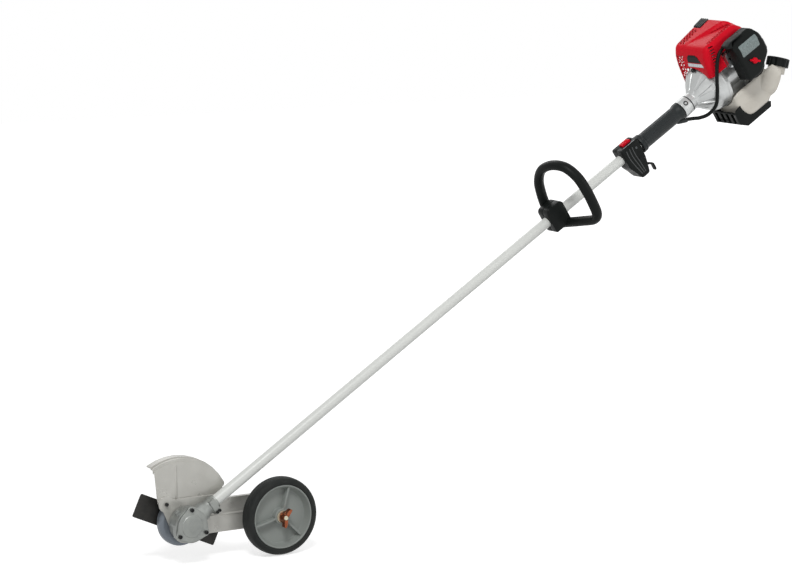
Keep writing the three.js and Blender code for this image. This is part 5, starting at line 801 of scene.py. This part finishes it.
def hood_shell(inset, low, near, far, ease, step, drop=0.0, far_ease=0.0):
    """The outline carried from near to far in even steps, its near rim and, where told, its far rolled."""
    outline = long_outline(eased(hood_outline(inset, low, drop), HOOD_ROUND - inset, 6, closed=True), step)
    end = far - far_ease
    rows = rolled(near, ease, 8)
    rows += [(y, 0.0) for y in np.linspace(near + ease, end, int((end - near - ease) / step) + 1)[1:]]
    if far_ease:
        rows += rolled(far, far_ease, 8, -1)[::-1][1:]
    rows = np.array(rows)
    flat = outline[None] - outline_normals(outline)[None] * rows[:, 1, None, None]
    u, y, v = crested(flat[..., 0], np.broadcast_to(rows[:, :1], flat.shape[:2]), flat[..., 1])
    return capped(on_shaft(u, y, v))


SLOT_LEAN, SLOTS_FROM = np.radians(48), 99


def slanted_slot(u, y, half_length, half_width, high):
    """A slot cutter down through the deck, slanting from the shaft's line towards the near side."""
    cos, sin = np.cos(SLOT_LEAN), np.sin(SLOT_LEAN)

    def slot_place(a, b, v):
        """At a along the slot and b across it."""
        return on_shaft(u + a * cos + b * sin, y - a * sin + b * cos, v)

    return box(slot_place, -half_length, half_length, -half_width, half_width, SLOTS_FROM, high)


hood = made("hood_form", hood_shell(0, 0, HOOD_NEAR, HOOD_FAR, HOOD_EDGE, 3.0))
cut(hood, hood_shell(HOOD_WALL, 14, HOOD_NEAR + HOOD_WALL, HOOD_FAR + 6, HOOD_EDGE - HOOD_WALL, 4.0))
cut(hood, turned(on_shaft, [(1530, 62.2), (1581.5, 62.2)], 96),
    turned(on_shaft, [(1581.4, 60.6), (1690, 60.6)], 96))
cut(hood, box(on_shaft, 1530, 1596, HOOD_NEAR - 5, 0, -30, 40),
    box(on_shaft, 1592, 1690, HOOD_NEAR - 5, HOOD_NEAR + 26, -16, 74))
near_row = [slanted_slot(1584 + 8.3 * i, -49.5 + 0.3 * i, 5.8, 2.1, 114) for i in range(9)]
crest_row = [slanted_slot(1624 + 6.2 * i, -21.5 - 3.7 * i, 5.0, 1.7, 120) for i in range(6)]
RUNGS_AT, RUNG_MIDDLE, RUNG_PITCH, RUNG_SLANT, RUNG_LEAN = 1574, 84, 7.0, 0.16, 0.18
ladder_slots = []
for low in np.arange(58, 101, RUNG_PITCH):

    def rung_place(a, y, v, low=low):
        """At a along a rung that leans, in a ladder that slants with height."""
        return on_shaft(RUNGS_AT + (low - RUNG_MIDDLE) * RUNG_SLANT + a, y, low + v - RUNG_LEAN * a)

    ladder_slots.append(box(rung_place, -6, 6.5, HOOD_NEAR - 4, HOOD_NEAR + 7, 0, 3.3))
cut(hood, *ladder_slots)
cut(hood, *near_row, *crest_row)
dressed(hood, "frame", "red", ("engine_cover",), angle=34)


def front_place(y, out, v):
    """On the front face: the outline's front line at this height, and out beyond it."""
    return on_shaft(front_line(v) - out, y, v)


front_shares = np.linspace(0.03, 1, 9)
plate_outline = [(7, 75.5), (7, 86), (2, 91.5), (-22, 92), (-31, 88), (-41, 75.5)]
strip_outline = [(9, 66), (9, 73.5), (-42, 73.5), (-47.5, 66)]
trim("name_plate", inlay(front_place, plate_outline, 1.6, front_shares), "red", INLAY_BLACK)
trim("silver_strip", inlay(front_place, strip_outline, 1.6, front_shares), "red", SILVER_STRIP_AND_HIGHLIGHT)


FRONT_SCREW = (1545.5, -2, 56.5)


def front_screw_place(s, a, b):
    """Out by s from the front face, round the cover's screw."""
    return on_shaft(FRONT_SCREW[0] - s, FRONT_SCREW[1] + a, FRONT_SCREW[2] + b)


front_screw = eased([(-3, 0), (-3, 5), (3.4, 5), (3.4, 2.6), (1.2, 2.4), (1.2, 0)], 0.5)
trim("cover_screw", turned(front_screw_place, front_screw, 28), "screw")

# Muffler cage and heat guard: the cover's far side, latticed in front and ribbed behind

CAGE_END, CAGE_WALL, CAGE_DROP, CAGE_EDGE = 1625.0, 1.3, 15, 9.8
cage = made("cage_form", hood_shell(0, 0, HOOD_NEAR, CAGE_FAR, HOOD_EDGE, 3.4, CAGE_DROP, HOOD_EDGE))
cut(cage, hood_shell(CAGE_WALL, 14, HOOD_NEAR + CAGE_WALL, CAGE_FAR - CAGE_WALL, CAGE_EDGE, 5.0, CAGE_DROP,
                     CAGE_EDGE),
    box(on_shaft, 1500, 1720, HOOD_NEAR - 20, HOOD_FAR + 0.3, -60, 160))
engine_room = [(1500, 0), (1500, 49), (1559, 57.6), (1560, 60.9), (1581.9, 60.9), (1582, 59.4),
               (1690, 59.4), (1690, 0)]
cut(cage, turned(on_shaft, engine_room, 96))
guard = cage.copy()
guard.data = cage.data.copy()
bpy.context.scene.collection.objects.link(guard)
cut(cage, box(on_shaft, CAGE_END, 1720, 0, 90, -60, 160))
cut(guard, box(on_shaft, 1480, CAGE_END + 0.3, 0, 90, -60, 160),
    box(on_shaft, 1480, 1720, 0, 90, -60, HOOD_TAIL))


def diamond(place, half=3.9):
    """A four-sided cutter through a wall, its corners half out on the two directions of the wall."""
    corners = np.array([(half, 0), (0, half), (-half, 0), (0, -half)], float)
    depth = np.array([-5.0, 5.0])[:, None]
    return capped(place(np.broadcast_to(corners[None, :, 0], (2, 4)), np.broadcast_to(depth, (2, 4)),
                        np.broadcast_to(corners[None, :, 1], (2, 4))))


PITCH, HALF, ROLL_KEPT, END_KEPT = 10.0, 5.0, 9, 7
front_lattice, far_lattice, top_lattice = [], [], []
for column in range(5):
    for row in range(10):
        v, y = 6 + PITCH * row + HALF * (column % 2), 26 + HALF * column
        if v < 90:
            front_lattice.append(diamond(
                lambda a, d, b, y=y, v=v: on_shaft(front_line(v) + d, y + a, v + b)))
for row in range(19):
    for column in range(8):
        u, v = 1553 + PITCH * column + HALF * (row % 2), 3 + HALF * row
        if front_line(v) + ROLL_KEPT < u < CAGE_END - END_KEPT and 0.85 * (u - HOOD_FRONT) - 6 < v < 98:
            far_lattice.append(diamond(
                lambda a, d, b, u=u, v=v: on_shaft(u + a, CAGE_FAR - 1 + d, v + b)))
for row in range(5):
    for column in range(6):
        u, y = 1573 + PITCH * column + HALF * (row % 2), 27 + HALF * row
        if u < CAGE_END - 6:
            top_lattice.append(diamond(
                lambda a, d, b, u=u, y=y: on_shaft(u + a, y + b, HOOD_TOP + 3 + d * 2), 3.8))
for openings in (front_lattice, far_lattice, top_lattice):
    cut(cage, *openings)
dressed(cage, "frame", "red", ("muffler_cage",), angle=34)
dressed(guard, "frame", "black", ("heat_guard",), angle=34)


def rib_place(y, u, v):
    """On the guard's top: the crest's slope under each place."""
    return on_shaft(u, y, v + crest_lift(u))


RIBS, RIB_PITCH, RIB_FOOT, RIB_TOP = 4, 6.8, 106, 110.7
ribs = []
for i in range(RIBS):
    y0 = HOOD_FAR + 2.5 + RIB_PITCH * i
    rib_outline = eased([(y0, RIB_FOOT), (y0 + 3.2, RIB_FOOT), (y0 + 2.9, RIB_TOP), (y0 + 0.3, RIB_TOP)], 1.1,
                        closed=True)
    ribs.append(slab(rib_place, rib_outline, CAGE_END + 1.5, 1656, 2.4))
# The ribs' lighter colour is a painted highlight on the guard's black
trim("heat_ribs", joined(*ribs), "black", RIB_PAINTED_HIGHLIGHT)

# The rest keep their solids' shapes, with broken edges

for node in ("gearcase_body", "blade_guard", "wheel_bracket", "blade", "cover_screw_top", "cover_screw_front",
             "cover_screw_rear", "wing_nut", "axle_bolt", "wheel_washer", "control_housing_near",
             "control_housing_far", "throttle_trigger", "stop_switch", "cover_knob", "air_cleaner_base",
             "starter_housing", "starter_handle", "crankcase", "cylinder", "muffler", "blade_nut",
             "outer_flange", "inner_flange", "carburettor", "choke_lever"):
    softened(node)

# Stand under the tank, with windows cut through its bars

STAND_NEAR, STAND_WIDE, STAND_WINDOWS = -62, 86, 4
stand = softened("tank_guard", 0.0014, 3)
upright_window = eased([(1549, -98), (1549, -67), (1561, -67), (1561, -98)], 1.5, closed=True)
corner_window = eased([(1549, -99), (1566, -99), (1572, -106), (1549, -106)], 1.0, closed=True)
windows = []
for i in range(STAND_WINDOWS):
    middle = STAND_NEAR + STAND_WIDE * (i + 0.75) / (STAND_WINDOWS + 0.5)
    windows.append(slab(on_shaft, upright_window, middle - 5, middle + 5, 1.5))
    windows.append(slab(on_shaft, corner_window, middle - 4, middle + 4, 1.5))
cut(stand, *windows)
smoothed(stand, 38)

# Small fittings on the head and on the control housing, and a painted highlight on the housing's edge


def socket_screw(x, y, z, radius, rise, place=on_head):
    """A socket-head screw facing the near side: a profile turned round its own axis, out by rise from y."""
    profile = eased([(y + 1, 0), (y + 1, radius), (y - rise, radius), (y - rise, radius * 0.55),
                     (y - rise * 0.4, radius * 0.5), (y - rise * 0.4, 0)], 0.35)
    return turned(about(x, z, place), profile, 28)


trim("guard_screw", socket_screw(-40, 13.1, 43, 4.2, 1.8), "screw")
clamp_screws = [socket_screw(station, -16.5, -14.5, 3.3, 3.6, on_shaft) for station in (62.2, 68.8)]
trim("clamp_screws", joined(*clamp_screws), "screw")
NEAR_FACE = -19.5
ridges = []
for lean in (0.0, 9.0, 17.0):
    ridge_route = [(1292 + lean, NEAR_FACE, 17), (1291 + lean, NEAR_FACE, -2),
                   (1295 + lean * 0.9, NEAR_FACE, -24), (1302 + lean * 0.6, NEAR_FACE, -50)]
    ridge_path = shaft_points(spline(ridge_route, 40))
    ridges.append(swept(ridge_path, ring(1.3, 0.9, 12) * MM, ACROSS, round_path=False))
# The ridges take the same painted highlight as the guard's ribs
trim("housing_ridges", joined(*ridges), "black", RIB_PAINTED_HIGHLIGHT)
trim("housing_screw", socket_screw(1318, NEAR_FACE, 9, 2.8, 0.9, on_shaft), "screw", FINISHES["iron"])
# A thin silver plate along the switch panel's upper near edge: a painted highlight of that edge, where the
# housing has no separate strip
edge_highlight_outline = eased([(1291, 23.8), (1325, 23.8), (1325, 24.9), (1291, 24.9)], 0.4, closed=True)
trim("switch_edge_painted_highlight", slab(on_shaft, edge_highlight_outline, -15.4, -14.4, 0.3), "screw", SILVER_STRIP_AND_HIGHLIGHT)

# Studio: a pale floor, a bright surround and three soft lamps

FLOOR_GLOW_NEAR, FLOOR_GLOW_FAR, FLOOR_GREY = 0.62, 1.0, 0.72
SURROUND_LIGHT = 0.34
FLOOR_HALF, FLOOR_LEVEL = 9, -0.0005
floor_corners = np.array([[-1, -1], [1, -1], [1, 1], [-1, 1]]) * FLOOR_HALF
floor = made("floor", (np.column_stack([floor_corners, np.full(4, FLOOR_LEVEL)]), [[0, 1, 2, 3]]))
floor_material = bpy.data.materials.new("pale_floor")
floor_material.use_nodes = True
floor_nodes, floor_links = floor_material.node_tree.nodes, floor_material.node_tree.links
floor_shader = floor_nodes["Principled BSDF"]
floor_shader.inputs["Base Color"].default_value = (FLOOR_GREY, FLOOR_GREY, FLOOR_GREY, 1)
floor_shader.inputs["Roughness"].default_value = 0.9
floor_shader.inputs["Specular IOR Level"].default_value = 0.0


def seen_share(nodes, links):
    """One for camera, mirror and glass rays, nought for the soft light that falls on the object."""
    path = nodes.new("ShaderNodeLightPath")
    total = path.outputs["Is Camera Ray"]
    for name in ("Is Glossy Ray", "Is Transmission Ray"):
        larger = nodes.new("ShaderNodeMath")
        larger.operation = "MAXIMUM"
        links.new(total, larger.inputs[0])
        links.new(path.outputs[name], larger.inputs[1])
        total = larger.outputs["Value"]
    return total


floor_glow = floor_nodes.new("ShaderNodeEmission")
floor_place = floor_nodes.new("ShaderNodeTexCoord")
floor_reach = floor_nodes.new("ShaderNodeVectorMath")
floor_reach.operation = "LENGTH"
floor_fade = floor_nodes.new("ShaderNodeMapRange")
floor_fade.interpolation_type = "SMOOTHSTEP"
floor_fade.inputs["From Min"].default_value = 0.9
floor_fade.inputs["From Max"].default_value = 2.4
floor_fade.inputs["To Min"].default_value = FLOOR_GLOW_NEAR
floor_fade.inputs["To Max"].default_value = FLOOR_GLOW_FAR
floor_strength = floor_nodes.new("ShaderNodeMath")
floor_strength.operation = "MULTIPLY"
floor_sum = floor_nodes.new("ShaderNodeAddShader")
floor_links.new(floor_place.outputs["Object"], floor_reach.inputs[0])
floor_links.new(floor_reach.outputs["Value"], floor_fade.inputs["Value"])
floor_links.new(floor_fade.outputs["Result"], floor_strength.inputs[0])
floor_links.new(seen_share(floor_nodes, floor_links), floor_strength.inputs[1])
floor_links.new(floor_strength.outputs["Value"], floor_glow.inputs["Strength"])
floor_links.new(floor_shader.outputs["BSDF"], floor_sum.inputs[0])
floor_links.new(floor_glow.outputs["Emission"], floor_sum.inputs[1])
floor_links.new(floor_sum.outputs["Shader"], floor_nodes["Material Output"].inputs["Surface"])
floor.data.materials.append(floor_material)

world = bpy.data.worlds.new("surround")
world.use_nodes = True
bpy.context.scene.world = world
world_nodes, world_links = world.node_tree.nodes, world.node_tree.links
backdrop = world_nodes["Background"]
backdrop.inputs["Color"].default_value = (1, 1, 1, 1)
strength = world_nodes.new("ShaderNodeMapRange")
strength.inputs["To Min"].default_value = SURROUND_LIGHT
strength.inputs["To Max"].default_value = 1.0
world_links.new(seen_share(world_nodes, world_links), strength.inputs["Value"])
world_links.new(strength.outputs["Result"], backdrop.inputs["Strength"])


def lamp(name, place, target, power, size):
    """A soft round lamp at a place, its face turned towards a target."""
    data = bpy.data.lights.new(name, "AREA")
    data.energy = power
    data.shape = "DISK"
    data.size = size
    light = bpy.data.objects.new(name, data)
    bpy.context.scene.collection.objects.link(light)
    toward = np.array(target) - np.array(place)
    back = -toward / np.linalg.norm(toward)
    right = np.cross([0.0, 0.0, 1.0], back)
    right /= np.linalg.norm(right)
    turned_to = np.array([right, np.cross(back, right), back]).T
    light.matrix_world = Matrix([[*row] for row in turned_to]).to_4x4()
    light.location = place


lamp("key_lamp", place=(-2.4, -2.9, 4.3), target=(0.0, 0.0, 0.5), power=128, size=1.6)
lamp("fill_lamp", place=(2.8, -3.2, 2.2), target=(0.2, 0.0, 0.6), power=26, size=2.6)
lamp("rim_lamp", place=(0.6, 3.4, 3.2), target=(0.1, 0.0, 0.6), power=26, size=2.4)

scene = bpy.context.scene
scene.view_settings.view_transform = "Standard"
